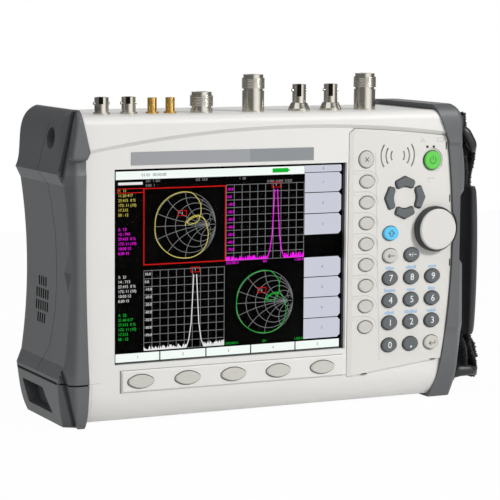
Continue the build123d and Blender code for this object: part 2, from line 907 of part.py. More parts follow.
def boot_groove(tip_z, open_z):
    """Leaning V groove between the left boot's front pillar and its side, from a tip to an open end."""
    out = case_left - overrun
    front = -overrun - boot_front_proud
    fall = (groove_back - groove_y) * overrun / groove_depth
    tip = outline([
        (out, front), (case_left - groove_tip, front), (case_left + groove_tip, groove_y),
        (out, groove_y + groove_tip),
    ])
    mouth = outline([
        (out, front), (case_left + groove_flank, front), (case_left + groove_depth, groove_y),
        (out, groove_back + fall),
    ])
    return loft([Pos(0, 0, tip_z) * tip, Pos(0, 0, open_z) * mouth], ruled=True)


def boot_channel():
    """Shallow valley beside the left boot's pillar, deepest at the waist."""
    out = -overrun - channel_w
    plan = outline([
        (out, channel_y - channel_w / 2), (-channel_depth, channel_y - channel_depth), (0, channel_y),
        (-channel_depth, channel_y + channel_w - channel_depth), (out, channel_y + channel_w),
    ])
    apex = case_left + channel_waist + channel_depth
    ends = [Pos(apex - channel_w, 0, boot_top * share) * plan for share in (channel_low_share, channel_high_share)]
    middle = Pos(apex, 0, boot_top * (channel_low_share + channel_high_share) / 2) * plan
    return loft([ends[0], middle], ruled=True) + loft([middle, ends[1]], ruled=True)


def left_boot_whole(core):
    """The left boot with the battery door still on it."""
    block = mirror(boot_block(left_boot_shares, left_slope_in, left_rear_radius), Plane.YZ)
    solid = block & on_front(left_boot_view(), -overrun - boot_front_proud, boot_rear + overrun)
    solid -= boot_groove(boot_top * groove_high_share, boot_top + overrun)
    solid -= boot_groove(boot_top * groove_low_share, -overrun)
    solid -= boot_channel()
    return solid + left_boot_cap() - core


def left_boot(whole):
    """Left bumper above the battery door, with its post hole and vent."""
    solid = whole & slab(case_left - overrun, case_right, -boot_rear, boot_rear + overrun,
                         door_h + seat_gap, boot_top + overrun)
    hole = Pos(post_hole_y, boot_top - post_hole_drop) * Circle(post_hole_d / 2)
    solid -= on_side(hole, case_left - overrun, case_left + post_hole_depth)
    return solid - vent_slots()


def battery_door(whole):
    """Lower part of the left bumper, which slides off to reach the battery."""
    solid = whole & slab(case_left - overrun, case_right, -boot_rear, boot_rear + overrun,
                         -overrun, door_h)
    low = recess_z - recess_h / 2
    high = recess_z + recess_h / 2
    face = outline([
        (recess_y - recess_w / 2, low), (recess_y + recess_w / 2, low),
        (recess_y + recess_w / 2 + recess_lean / 2, high), (recess_y - recess_w / 2 + recess_lean, high),
    ])
    return solid - on_side(face, case_left - overrun, case_left + recess_depth)


def right_boot(core):
    """Right bumper, waisted beside the knob."""
    solid = boot_block(right_boot_shares, right_slope_in, right_rear_radius)
    solid = solid & on_front(right_boot_view(), -overrun - boot_front_proud, boot_rear + overrun)
    solid -= on_front(knob_ear(fascia_seam), -overrun - boot_front_proud, fascia_back)
    return solid - core


def display_window():
    """Clear window behind the screen opening."""
    w = screen_w + 2 * window_lap
    h = screen_h + 2 * window_lap
    return on_front(Pos(screen_x, screen_z) * Rectangle(w, h), window_y, window_back)


def display_module():
    """Flat display behind the window."""
    w = screen_w + 2 * display_border_w
    h = screen_h + 2 * display_border_h
    return on_front(Pos(screen_x, screen_z) * Rectangle(w, h), display_front, display_back)


def keypad_board():
    """One board behind the keypad and the key strip, clear of speaker and shaft."""
    upper, middle, lower = fascia_edge()
    left = fascia_left + board_inset
    low = chin_top + board_inset
    top = case_top - brow_right_drop - board_inset
    face = outline([
        (left, low), (left, top), (upper[0] - side_ledge, top),
        (middle[0] - side_ledge, middle[1]), (lower[0] - side_ledge, lower[1]),
        (left + fascia_w / 2, low),
    ])
    strip_left = screen_left + strip_inset
    strip_mid = (strip_left + left) / 2
    strip = Rectangle(left - strip_left + 2 * board_inset, strip_h - 2 * board_inset)
    face += Pos(strip_mid, (chin_top + strip_top) / 2) * strip
    face -= Pos(speaker_cx, speaker_cz) * Circle(speaker_d / 2 + hole_gap + board_inset)
    face -= Pos(knob_x, knob_z) * Circle(shaft_d / 2 + key_gap)
    return on_front(face, board_front, board_back)


def loudspeaker():
    """Small loudspeaker on the back of the fascia."""
    centre = Pos(speaker_cx, speaker_cz)
    middle = fascia_back + speaker_t / 2
    cone = on_front(centre * Circle(speaker_d / 2), fascia_back, middle)
    return cone + on_front(centre * Circle(speaker_magnet_d / 2), middle, fascia_back + speaker_t)


def rotary_encoder():
    """Encoder on the back of the keypad board, bored for the knob's shaft."""
    body = on_front(Pos(knob_x, knob_z) * Rectangle(encoder_w, encoder_w), board_back, board_back + encoder_t)
    bore = Pos(knob_x, knob_z) * Circle(shaft_d / 2 + running_gap)
    return body - on_front(bore, board_back - overrun, board_back + shaft_depth + seat_gap)


def tuning_knob():
    """Knob skirt with its shaft, hollowed for the cap."""
    centre = Pos(knob_x, knob_z)
    skirt = on_front(centre * Circle(knob_d / 2), knob_front + knob_edge, knob_back)
    rim_edges = skirt.faces().sort_by(Axis.Y)[0].edges()
    skirt = chamfer(rim_edges, knob_edge)
    skirt -= on_front(centre * Circle(knob_cap_d / 2), knob_front - overrun, knob_front + knob_cap_sink)
    return skirt + on_front(centre * Circle(shaft_d / 2), knob_back, board_back + shaft_depth)


def knob_cap():
    """Pale disc set into the front of the knob."""
    centre = Pos(knob_x, knob_z)
    disc = on_front(centre * Circle(knob_cap_d / 2), knob_front, knob_front + knob_cap_sink)
    rim_edges = disc.faces().sort_by(Axis.Y)[0].edges()
    return chamfer(rim_edges, knob_cap_crown)


def rf_module():
    """Screened radio module under the connectors."""
    return slab(rf_left, rf_left + rf_w, rf_front, rf_back, rf_top - rf_h, rf_top)


def main_board():
    """Main circuit board on the back of the radio module."""
    return slab(core_left + wall + fan_t + main_board_margin, core_right - wall - main_board_margin,
                rf_back, rf_back + board_t, main_board_foot, case_top - wall - main_board_drop)


def battery_pack():
    """Battery on the floor of the case, end-on to the door."""
    low = foot_h + wall
    left = core_left + seat_gap
    return slab(left, left + battery_l, battery_y, battery_y + battery_w, low, low + battery_h)


def cooling_fan():
    """Fan frame on the end wall behind the vent, with a spoked boss for the rotor's pin."""
    face = Rectangle(fan_w, fan_w) - Circle(fan_w / 2 - fan_bore_gap)
    frame = on_side(Pos(fan_y, fan_z) * face, fan_x, fan_x + fan_t)
    spokes = Rectangle(fan_w - fan_bore_gap, fan_spoke) + Rectangle(fan_spoke, fan_w - fan_bore_gap)
    spokes += Circle(fan_hub_d / 2)
    spokes -= Circle(fan_pin_d / 2 + running_gap)
    return frame + on_side(Pos(fan_y, fan_z) * spokes, fan_x + fan_t - fan_spoke, fan_x + fan_t)


def fan_rotor():
    """Fan rotor: hub, pin and pitched blades."""
    back = fan_x + fan_t - fan_spoke - seat_gap
    length = back - fan_x - seat_gap
    hub = on_side(Pos(fan_y, fan_z) * Circle(fan_hub_d / 2), back - length, back)
    pin = on_side(Pos(fan_y, fan_z) * Circle(fan_pin_d / 2), back, fan_x + fan_t)
    rotor = hub + pin
    reach = fan_w / 2 - 2 * fan_bore_gap
    blade_w = length / math.cos(math.radians(fan_blade_pitch)) - 2 * fan_blade_t
    for i in range(fan_blades):
        blade = Box(blade_w, fan_blade_t, reach)
        blade = Pos(0, 0, reach / 2) * Rot(0, 0, fan_blade_pitch) * blade
        rotor += Pos(back - length / 2, fan_y, fan_z) * Rot(i * 360 / fan_blades, 0, 0) * blade
    return rotor


def jack_holes():
    """Holes in the top wall for the necks of the connectors."""
    holes = Part()
    sizes = [(x, n_neck_d) for x in (n_short_x,) + n_tall_x]
    sizes += [(x, bnc_d) for x in bnc_low_x + bnc_tall_x]
    sizes += [(x, sma_d) for x in sma_x]
    for x, d in sizes:
        shaft = Cylinder(d / 2 + hole_gap, 2 * wall + overrun)
        holes += Pos(case_left + x, jack_y, case_top) * shaft
    return holes


def jack_at(x, points):
    """A turned connector standing on the top of the case."""
    return Pos(case_left + x, jack_y, case_top) * turned(points)


def n_jack(x, sleeve_h):
    """Type N jack: tail, sleeve, neck, threaded barrel, rim, bore and contact."""
    barrel_low = sleeve_h + n_neck_h
    barrel_high = barrel_low + n_thread_h
    top = barrel_high + n_rim_h
    return jack_at(x, [
        (0, -jack_tail), (n_neck_d / 2, -jack_tail), (n_neck_d / 2, 0),
        (n_sleeve_d / 2, 0), (n_sleeve_d / 2, sleeve_h),
        (n_neck_d / 2, sleeve_h), (n_neck_d / 2, barrel_low), (n_thread_d / 2, barrel_low),
        (n_thread_d / 2, barrel_high), (n_rim_d / 2, barrel_high), (n_rim_d / 2, top),
        (n_bore_d / 2, top), (n_bore_d / 2, top - n_bore_depth), (n_contact_d / 2, top - n_bore_depth),
        (n_contact_d / 2, top - n_rim_h), (0, top - n_rim_h),
    ])


def n_jacks():
    """One short and two tall type N jacks."""
    jacks = [n_jack(n_short_x, n_short_sleeve_h)]
    for x in n_tall_x:
        jacks.append(n_jack(x, n_tall_sleeve_h))
    return Compound(jacks)


def bnc_jack(x, height, base):
    """BNC jack on a base given as (radius, height) points, with two bayonet lugs."""
    points = [(0, -jack_tail), (bnc_d / 2, -jack_tail), (bnc_d / 2, 0)]
    points += base
    points += [
        (bnc_d / 2, height), (bnc_bore_d / 2, height), (bnc_bore_d / 2, height - bnc_bore_depth),
        (bnc_contact_d / 2, height - bnc_bore_depth), (bnc_contact_d / 2, height - bnc_base_h),
        (0, height - bnc_base_h),
    ]
    jack = turned(points)
    span = bnc_d / 2 - bnc_bore_d / 2 + bnc_lug_out
    for side in (-1, 1):
        middle = side * (bnc_d / 2 + bnc_lug_out - span / 2)
        jack += Pos(middle, 0, height - bnc_lug_drop) * Rot(0, 90, 0) * Cylinder(bnc_lug_d / 2, span)
    return Pos(case_left + x, jack_y, case_top) * jack


def bnc_jacks():
    """Two low BNC jacks and two on flared bases."""
    low_base = [(bnc_base_d / 2, 0), (bnc_base_d / 2, bnc_base_h), (bnc_d / 2, bnc_base_h)]
    flare = [
        (bnc_flare_d / 2, 0), (bnc_flare_d / 2, bnc_base_h),
        (bnc_base_d / 2, bnc_flare_h), (bnc_d / 2, bnc_flare_h),
    ]
    jacks = [bnc_jack(x, bnc_low_h, low_base) for x in bnc_low_x]
    jacks += [bnc_jack(x, bnc_tall_h, flare) for x in bnc_tall_x]
    return Compound(jacks)


def sma_jacks():
    """Two SMA jacks."""
    points = [
        (0, -jack_tail), (sma_d / 2, -jack_tail), (sma_d / 2, 0),
        (sma_base_d / 2, 0), (sma_base_d / 2, sma_base_h),
        (sma_d / 2, sma_base_h), (sma_d / 2, sma_h), (sma_bore_d / 2, sma_h),
        (sma_bore_d / 2, sma_h - sma_bore_depth), (sma_contact_d / 2, sma_h - sma_bore_depth),
        (sma_contact_d / 2, sma_h - sma_base_h), (0, sma_h - sma_base_h),
    ]
    return Compound([jack_at(x, points) for x in sma_x])


def strap_points():
    """Pivot and bar of the upper and of the lower ring, as (X, Z)."""
    upper = ((case_right + top_pivot_reach, top_pivot_z), (case_right + top_bar_reach, top_bar_z))
    lower = ((case_right + low_pivot_reach, low_pivot_z), (case_right + low_bar_reach, low_bar_z))
    return upper, lower


def lug_sketch():
    """Front view of a lug about its eye: a round end on a straight root."""
    return Circle(lug_r) + Pos(-lug_r * 2, 0) * Rectangle(lug_r * 4, lug_r * 2)


def tall_lug_sketch():
    """Front view of the upper lug, which reaches above its eye and runs down the boot."""
    root = -lug_r * 4
    toe = lug_r - lug_drop_in
    head = Pos((root + lug_r) / 2, lug_rise / 2) * Rectangle(lug_r - root, lug_rise)
    foot = Pos((root + toe) / 2, -lug_drop / 2) * Rectangle(toe - root, lug_drop)
    return lug_sketch() + head + foot


def strap_lug(pivot, face, boot, core):
    """Lug that carries a ring, shaped to the boot that it stands on."""
    x, z = pivot
    lug = on_front(Pos(x, z) * face, strap_y - lug_w / 2, strap_y + lug_w / 2)
    eye = Pos(x, z) * Circle(ring_rod_d / 2 + seat_gap)
    lug -= on_front(eye, strap_y - lug_w, strap_y + lug_w)
    lug = lug - boot - core
    return lug.solids().sort_by(Axis.X)[-1]


def strap_anchors(boot, core):
    """The two lugs on the right boot."""
    upper, lower = strap_points()
    return Compound([strap_lug(upper[0], tall_lug_sketch(), boot, core),
                     strap_lug(lower[0], lug_sketch(), boot, core)])


def strap_ring(pivot, bar):
    """Closed ring of round rod from a lug's eye to the webbing."""
    half_l = math.hypot(bar[0] - pivot[0], bar[1] - pivot[1]) / 2
    half_w = (ring_inner_w + ring_rod_d) / 2
    lean = math.degrees(math.atan2(bar[1] - pivot[1], bar[0] - pivot[0]))
    rod_r = ring_rod_d / 2
    bend = revolve(Plane.XZ * Pos(ring_corner, 0) * Circle(rod_r), axis=Axis.Z, revolution_arc=90)
    corner = Pos(half_l - ring_corner, half_w - ring_corner, 0) * bend
    long_bar = Pos(half_l, 0, 0) * Rot(90, 0, 0) * Cylinder(rod_r, 2 * (half_w - ring_corner))
    short_bar = Pos(0, half_w, 0) * Rot(0, 90, 0) * Cylinder(rod_r, 2 * (half_l - ring_corner))
    half = corner + mirror(corner, Plane.XZ) + long_bar
    ring = half + mirror(half, Plane.YZ) + short_bar + mirror(short_bar, Plane.XZ)
    middle = Pos((pivot[0] + bar[0]) / 2, strap_y, (pivot[1] + bar[1]) / 2)
    return middle * Rot(0, -lean, 0) * ring


def strap_rings():
    """The two rings at the ends of the strap."""
    upper, lower = strap_points()
    return Compound([strap_ring(*upper), strap_ring(*lower)])


def strap_band(bar, end):
    """Webbing from an eye round a ring's bar to the end of the grip."""
    length = math.hypot(end[0] - bar[0], end[1] - bar[1])
    lean = math.degrees(math.atan2(end[1] - bar[1], end[0] - bar[0]))
    band = Circle(eye_r)
    band += Pos(length / 2, 0) * Rectangle(length, webbing_t)
    band -= Circle(eye_r - webbing_ply)
    face = Pos(bar[0], bar[1]) * Rot(0, 0, lean) * band
    return on_front(face, strap_y - webbing_w / 2, strap_y + webbing_w / 2)


def strap_webbing():
    """Upper and lower webbing, cut square where they enter the grip."""
    upper, lower = strap_points()
    x = case_right + strap_grip_reach - strap_grip_t / 2
    top = strap_band(upper[1], (x, strap_grip_high - webbing_t))
    low = strap_band(lower[1], (x, strap_grip_low + webbing_t))
    grip = slab(case_right, part_right + overrun, strap_y - strap_grip_w, strap_y + strap_grip_w,
                strap_grip_low, strap_grip_high)
    return Compound([(top - grip).solid(), (low - grip).solid()])


def grip_section(z, draw_in, thin):
    """Plan of the grip at one height: a flat inner face, drawn-in sides and a crowned outer face."""
    outer = case_right + strap_grip_reach - thin
    inner = case_right + strap_grip_reach - strap_grip_t + thin
    edge = outer - strap_grip_crown
    side = strap_grip_w / 2 - draw_in
    shoulder = side - strap_grip_round
    middle = (inner + edge) / 2
    edges = [
        Line((inner, -shoulder), (inner, shoulder)),
        ThreePointArc((inner, shoulder), (middle, side), (edge, shoulder)),
        ThreePointArc((edge, shoulder), (outer, 0), (edge, -shoulder)),
        ThreePointArc((edge, -shoulder), (middle, -side), (inner, -shoulder)),
    ]
    return Pos(0, strap_y, z) * make_face(edges)


def strap_grip():
    """Padded grip of the hand strap, crowned outward and drawn in towards its ends."""
    levels = [
        (strap_grip_low, strap_grip_draw, strap_grip_thin),
        ((strap_grip_low + strap_grip_high) / 2, 0, 0),
        (strap_grip_high, strap_grip_draw, strap_grip_thin),
    ]
    return loft([grip_section(*level) for level in levels])


def save(name, shape):
    """Write one piece, moved to the part's own origin."""
    export_step(Pos(shift_x, shift_y, 0) * shape, f"parts/{name}.step")


os.makedirs("parts", exist_ok=True)
core = core_block()
whole_boot = left_boot_whole(core)
boot = right_boot(core)
save("front_shell", front_shell(core))
save("rear_shell", rear_shell(core))
save("left_boot", left_boot(whole_boot))
save("right_boot", boot)
save("battery_door", battery_door(whole_boot))
save("keypad_fascia", keypad_fascia())
save("display_window", display_window())
save("display_module", display_module())
save("keypad_board", keypad_board())
save("main_board", main_board())
save("rf_module", rf_module())
save("rotary_encoder", rotary_encoder())
save("tuning_knob", tuning_knob())
save("knob_cap", knob_cap())
save("cooling_fan", cooling_fan())
save("fan_rotor", fan_rotor())
save("battery_pack", battery_pack())
save("loudspeaker", loudspeaker())
save("tilt_bail", tilt_bail())
save("n_jacks", n_jacks())
save("bnc_jacks", bnc_jacks())
save("sma_jacks", sma_jacks())
save("strap_anchors", strap_anchors(boot, core))
save("strap_rings", strap_rings())
save("strap_webbing", strap_webbing())
save("strap_grip", strap_grip())
for name, x, z, w, h, proud, face in oval_keys():
    save(name, oval_key(x, z, w, h, proud, face))
for turn, name in ((0, "up_key"), (90, "left_key"), (180, "down_key"), (270, "right_key")):
    save(name, arrow_key(turn))
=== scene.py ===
import json
import math
import random

import bmesh
import bpy
from mathutils import Matrix, Vector
from mathutils.bvhtree import BVHTree


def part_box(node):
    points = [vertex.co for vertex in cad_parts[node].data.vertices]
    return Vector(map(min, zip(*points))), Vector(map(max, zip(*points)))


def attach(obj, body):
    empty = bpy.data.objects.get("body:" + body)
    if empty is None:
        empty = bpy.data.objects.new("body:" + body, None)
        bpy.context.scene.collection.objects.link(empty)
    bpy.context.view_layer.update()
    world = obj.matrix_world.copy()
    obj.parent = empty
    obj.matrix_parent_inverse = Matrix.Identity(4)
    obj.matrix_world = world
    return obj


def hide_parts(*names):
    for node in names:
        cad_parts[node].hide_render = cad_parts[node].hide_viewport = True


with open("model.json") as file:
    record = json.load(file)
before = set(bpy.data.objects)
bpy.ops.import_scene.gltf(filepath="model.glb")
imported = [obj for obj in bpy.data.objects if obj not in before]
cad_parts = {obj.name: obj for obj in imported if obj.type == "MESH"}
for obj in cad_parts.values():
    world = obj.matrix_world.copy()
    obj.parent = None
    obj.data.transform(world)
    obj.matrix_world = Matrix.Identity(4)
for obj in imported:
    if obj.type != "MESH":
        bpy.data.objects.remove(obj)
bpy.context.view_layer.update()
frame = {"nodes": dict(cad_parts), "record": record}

bl_info = {
    "name": "Handheld network analyzer",
    "version": (1, 0, 0),
    "blender": (4, 5, 0),
    "location": "3D View > Sidebar > Analyzer",
    "description": "Finishes, legends, screen picture and hand strap of a handheld network analyzer",
    "category": "Object",
}

MM = 0.001
NODES = frame["nodes"]
MOUNTS = {mount["name"]: mount for mount in frame["record"]["mounts"]}

# Keys by the colour of their rubber
DIGIT_KEYS = [f"digit_key_{i}" for i in range(10)]
ARROW_KEYS = ["up_key", "left_key", "down_key", "right_key"]
SOFT_KEYS = [f"soft_key_{i}" for i in range(1, 9)]
FUNCTION_KEYS = [f"function_key_{i}" for i in range(1, 6)]
DARK_KEYS = DIGIT_KEYS + ARROW_KEYS + ["point_key", "sign_key"]
LIGHT_KEYS = SOFT_KEYS + FUNCTION_KEYS + ["escape_key", "back_key", "enter_key"]

# Distance in millimetres from which rays look for a surface
RAY_CLEAR = 20.0

# Places on the front, in millimetres from the middle of the window
WINDOW_SINK = 5.2
FASCIA_PROUD = 1.2
NAME_STRIPS = {"name_strip": (-75.85, 11.95), "name_strip_end": (11.95, 61.15)}
NAME_STRIP_LOW = 68.25
NAME_STRIP_HIGH = 77.05
NAME_STRIP_THICK = 0.3
LAMP_PLACES = ((151.75, 75.25), (157.05, 75.25))
LAMP_RADIUS = 0.9
LAMP_PROUD = 0.25
# Slits as width, height and the places of their middles
SLITS = ((0.9, 5.2, ((167.4, 75.6), (171.0, 37.9), (171.9, -8.4))),
         (4.6, 0.7, ((159.0, -77.9), (102.7, -84.9))))
SLIT_SINK = 0.6
SLIT_PROUD = 0.06
PICTURE_SHIFT = (0.85, -0.65)
OPENING_HALF = (87.55, 65.75)
# Dark lining of the opening's deeper walls: black gasket and painted shade
LINING_THICK = 0.36
LINING_TOP = -2.7
LINING_LIFT = 0.05
# Small signs on the fascia as points, width of the stroke and whether it closes
FASCIA_SIGNS = (
    (((159.8, 78.9), (165.0, 78.9), (165.0, 81.3), (159.8, 81.3)), 0.35, True),
    (((146.5, 79.2), (148.0, 81.4), (149.5, 79.2)), 0.4, True),
    (((152.2, 52.8), (158.2, 52.8)), 0.45, False),
    (((153.6, 51.4), (153.6, 49.6)), 0.45, False),
)
CELL_TIP = (165.3, 79.6, 165.9, 80.6)

# Lines of painted shade on the white mouldings, along a crease and the soft keys' lips; the lip is placed
# from the middle of a soft key
CREASE_SINK = 0.2
CREASE_PROUD = 0.03
CREASE_WIDE = 0.4
FASCIA_CREASE = ((109.6, 72.0), (111.2, 30.0), (113.0, -20.0), (115.0, -76.0))
LIP_WIDE = 0.45
SOFT_KEY_LIP = ((-10.4, 7.7), (-4.0, 7.7), (1.6, 7.5), (6.6, 5.3), (8.9, 1.6), (9.0, -1.6))
# Seams round the lower strip as points and width, darkened as painted shadow
STRIP_SEAMS = ((((-83.4, -85.1), (-83.4, -69.5)), 0.9), (((-82.8, -84.8), (86.0, -84.8)), 0.45),
               (((-82.8, -69.7), (86.0, -69.7)), 0.35))

# Seams of the left bumper, drawn as dark lines of painted shade, in millimetres from the bezel's plane and
# from the floor
SIDE_SEAM = ((33.7, 203.7), (46.6, 171.8), (34.1, 161.7), (28.3, 127.5), (28.5, 103.7), (29.8, 76.0),
             (35.4, 51.9), (48.2, 38.5), (48.4, 30.4))
SEAM_WIDE = 0.55
SEAM_STEP = 2.0
DOOR_SEAM_Z = 30.0
DOOR_SEAM_WIDE = 0.95
DOOR_SEAM_SIDE_WIDE = 1.8
# How far the door's seam stops short of the two ends of the side and of the front
DOOR_SEAM_SIDE_SHORT = (12.0, 6.0)
DOOR_SEAM_FRONT_SHORT = (8.0, 1.6)
DOOR_SEAM_FRONT_STEP = 1.0
DOOR_CORNER_REACH = 9
DOOR_CORNER_INWARD = (0.7071, 0.7071, 0)
# End of that seam on the white shell, a faint line of painted shade, from the door's edge and from the floor
DOOR_SEAM_ENDS = ((((0.1, DOOR_SEAM_Z), (9.0, DOOR_SEAM_Z + 0.3)), 0.35),
                  (((2.8, DOOR_SEAM_Z - 1.0), (2.4, 7.0)), 0.35))

# Vent slots and V grooves of the left bumper, darkened with painted shade, in millimetres, placed from the
# middle of the fan
VENT_ROWS = (4, 6, 6, 4)
VENT_SLOT = (2.4, 6.6)
VENT_PITCH = (4.2, 8.4)
VENT_LINING = 0.3
VENT_LINING_CLEAR = 0.02
VENT_LINING_SPAN = (-2.0, -0.15)
GROOVE_AHEAD = 48.0
GROOVE_TIP_SHARES = (0.735, 0.235)
GROOVE_TOP_SHORT = 1.2
GROOVE_FOOT = 1.0
GROOVE_OVER_DOOR = 0.5
GROOVE_UNDER_SEAM = 0.7
# Bands of shade in a groove: distance behind its deepest line, width, start as a share, height, colour
GROOVE_SHADES = {"deep": (0.3, 1.5, 0.22, 0.06, "313234"), "soft": (0.85, 2.0, 0.28, 0.03, "454649")}

# Screws on the back, in millimetres, placed from the edges of the rear shell
SCREW_MARGIN = (22.0, 14.0)
SCREW_SINK = 3.0
SCREW_RADIUS = 2.9
SCREW_HEIGHT = 1.8
SCREW_SLOT = (3.6, 0.9)
SCREW_SLOT_RISE = 0.55


def linear(code):
    """Linear colour from an sRGB hex value."""
    parts = [int(code[i:i + 2], 16) / 255 for i in (0, 2, 4)]
    return tuple(p / 12.92 if p <= 0.04045 else ((p + 0.055) / 1.055) ** 2.4 for p in parts) + (1.0,)


def colour_prop(name, description, code):
    """A colour setting with an sRGB default."""
    return bpy.props.FloatVectorProperty(name=name, description=description, subtype="COLOR", size=4,
                                         min=0.0, max=1.0, default=linear(code))


def length_prop(name, description, size_mm):
    """A length setting in scene units, given in millimetres."""
    return bpy.props.FloatProperty(name=name, description=description, unit="LENGTH", min=0.0,
                                   precision=5, default=size_mm * MM)


def power_prop(name, description, watts):
    """A setting for the power of a lamp."""
    return bpy.props.FloatProperty(name=name, description=description, unit="POWER", default=watts)


class AnalyzerColours(bpy.types.PropertyGroup):
    """Colours of the mouldings, rubbers and inks"""
    shell: colour_prop("Shell", "Front and rear mouldings", "E3E2DF")
    fascia: colour_prop("Fascia", "Panel round the keys", "DCDAD5")
    boot: colour_prop("Boot", "End bumpers", "5B5D5F")
    key_dark: colour_prop("Dark keys", "Number and arrow keys", "595E61")
    key_light: colour_prop("Light keys", "Soft keys and other pale keys", "C9C7C0")
    key_green: colour_prop("Green key", "Power key", "5FCB4E")
    key_blue: colour_prop("Blue key", "Shift key", "5CC6F2")
    knob_cap: colour_prop("Knob cap", "Front of the tuning knob", "D9D7D3")
    knob_skirt: colour_prop("Knob skirt", "Rim of the tuning knob", "2F3133")
    name_strip: colour_prop("Name strip", "Bare strip over the screen", "97999C")
    name_strip_end: colour_prop("Name strip end", "Right end of the strip", "868A8D")
    print_blue: colour_prop("Blue print", "Second labels over the number keys", "6FB2E4")
    print_grey: colour_prop("Grey print", "Small signs on the fascia", "B4B4B2")


class AnalyzerSizes(bpy.types.PropertyGroup):
    """Sizes of print, threads, stitches and pile"""
    digit_height: length_prop("Digit height", "Height of a number on a key", 6.6)
    ink_thick: length_prop("Ink thickness", "How far print stands off its surface", 0.05)
    n_pitch: length_prop("N thread pitch", "Thread of the type N jacks, 24 turns to the inch", 1.06)
    sma_pitch: length_prop("SMA thread pitch", "Thread of the SMA jacks, 36 turns to the inch", 0.71)
    stitch_pitch: length_prop("Stitch pitch", "Distance between stitches on the grip", 3.2)
    pile_length: length_prop("Pile length", "Loops on the strap's webbing", 1.1)


class AnalyzerStage(bpy.types.PropertyGroup):
    """Lamps and camera"""
    key_power: power_prop("Key lamp", "Power of the front lamp", 29.0)
    fill_power: power_prop("Fill lamp", "Power of the left lamp", 0.5)
    top_power: power_prop("Top lamp", "Power of the lamp overhead", 12.0)
    lens: bpy.props.FloatProperty(name="Lens", description="Focal length on a 36 mm sensor", unit="CAMERA",
                                  default=151.28)
    place: bpy.props.FloatVectorProperty(name="Camera", description="Place of the camera", unit="LENGTH",
                                         default=(-0.6645, -1.3281, 0.2869))
    sight: bpy.props.FloatVectorProperty(name="Sight", description="Direction that the camera looks in",
                                         subtype="DIRECTION", default=(0.4371, 0.8915, -0.1194))
    roll: bpy.props.FloatProperty(name="Roll", description="Turn of the camera about its sight",
                                  unit="ROTATION", default=math.radians(0.433))


def add(tree, kind, values=None, links=None, **settings):
    """Add a node with its settings, input values and incoming links."""
    made = tree.nodes.new(kind)
    for key, value in settings.items():
        setattr(made, key, value)
    for key, value in (values or {}).items():
        made.inputs[key].default_value = value
    for key, source in (links or {}).items():
        tree.links.new(source, made.inputs[key])
    return made


def new_material(name):
    """An empty node material."""
    material = bpy.data.materials.new(name)
    material.use_nodes = True
    material.node_tree.nodes.clear()
    return material, material.node_tree


def surface(tree, values, links):
    """Close a material with one principled shader."""
    shader = add(tree, "ShaderNodeBsdfPrincipled", values, links)
    add(tree, "ShaderNodeOutputMaterial", None, {"Surface": shader.outputs[0]})


def toned(tree, where, colour, patch_mm, spread):
    """A colour that drifts a little from place to place."""
    drift = add(tree, "ShaderNodeTexNoise", {"Scale": 1 / (patch_mm * MM), "Detail": 4.0}, {"Vector": where})
    dark = tuple(c * (1 - spread) for c in colour[:3]) + (1.0,)
    pale = tuple(min(1.0, c * (1 + spread)) for c in colour[:3]) + (1.0,)
    return add(tree, "ShaderNodeMix", {6: dark, 7: pale}, {0: drift.outputs[0]}, data_type="RGBA").outputs[2]


def worn(tree, height, low, high):
    """Roughness that follows a height between two values."""
    values = {"From Min": 0.3, "From Max": 0.7, "To Min": low, "To Max": high}
    return add(tree, "ShaderNodeMapRange", values, {"Value": height}).outputs[0]


# Moulded finishes as size and depth of the grain in millimetres, and roughness
SHELL_FINISH = (0.8, 0.02, 0.5)
FASCIA_FINISH = (0.7, 0.02, 0.52)
LABEL_FINISH = (0.5, 0.008, 0.42)
LENS_FINISH = (0.6, 0.01, 0.35)
BOOT_FINISH = (0.9, 0.03, 0.5)
CREASE_FINISH = (0.7, 0.01, 0.55)
SHADE_FINISH = (0.6, 0.01, 0.6)
GAP_FINISH = (0.5, 0.01, 0.6)
SLOT_FINISH = (0.5, 0.01, 0.5)
KEY_FINISH = (0.6, 0.015, 0.46)
BRIGHT_KEY_FINISH = (0.6, 0.015, 0.4)
SKIRT_FINISH = (0.7, 0.02, 0.45)
CAP_FINISH = (0.7, 0.012, 0.42)
NYLON_FINISH = (0.7, 0.02, 0.42)
INSIDE_FINISH = (0.7, 0.02, 0.5)
# Gloss of forms that stand for shade, which would shine in a light from the side
SHADOW_GLOSS = 0.05
GROOVE_GLOSS = 0.2


def moulded(name, colour, grain_mm, grain_deep_mm, roughness, spread=0.02, gloss=0.5):
    """Injection-moulded plastic or rubber: an even colour broken by a spark-eroded grain.

    The grain is drawn coarser than the real one, so that it shows.
    """
    material, tree = new_material(name)
    where = add(tree, "ShaderNodeTexCoord").outputs["Object"]
    grain = add(tree, "ShaderNodeTexNoise", {"Scale": 1 / (grain_mm * MM), "Detail": 3.0}, {"Vector": where})
    bump = add(tree, "ShaderNodeBump", {"Strength": 0.5, "Distance": grain_deep_mm * MM}, {
        "Height": grain.outputs[0]})
    surface(tree, {"IOR": 1.5, "Specular IOR Level": gloss}, {
        "Base Color": toned(tree, where, colour, patch_mm=45.0, spread=spread),
        "Roughness": worn(tree, grain.outputs[0], roughness - 0.06, roughness + 0.06),
        "Normal": bump.outputs[0],
    })
    return material


# Repeat of a wave texture at a scale of one, and of the lathe's rings in millimetres
WAVE_REPEAT = 0.314
RING_PITCH = 1.2


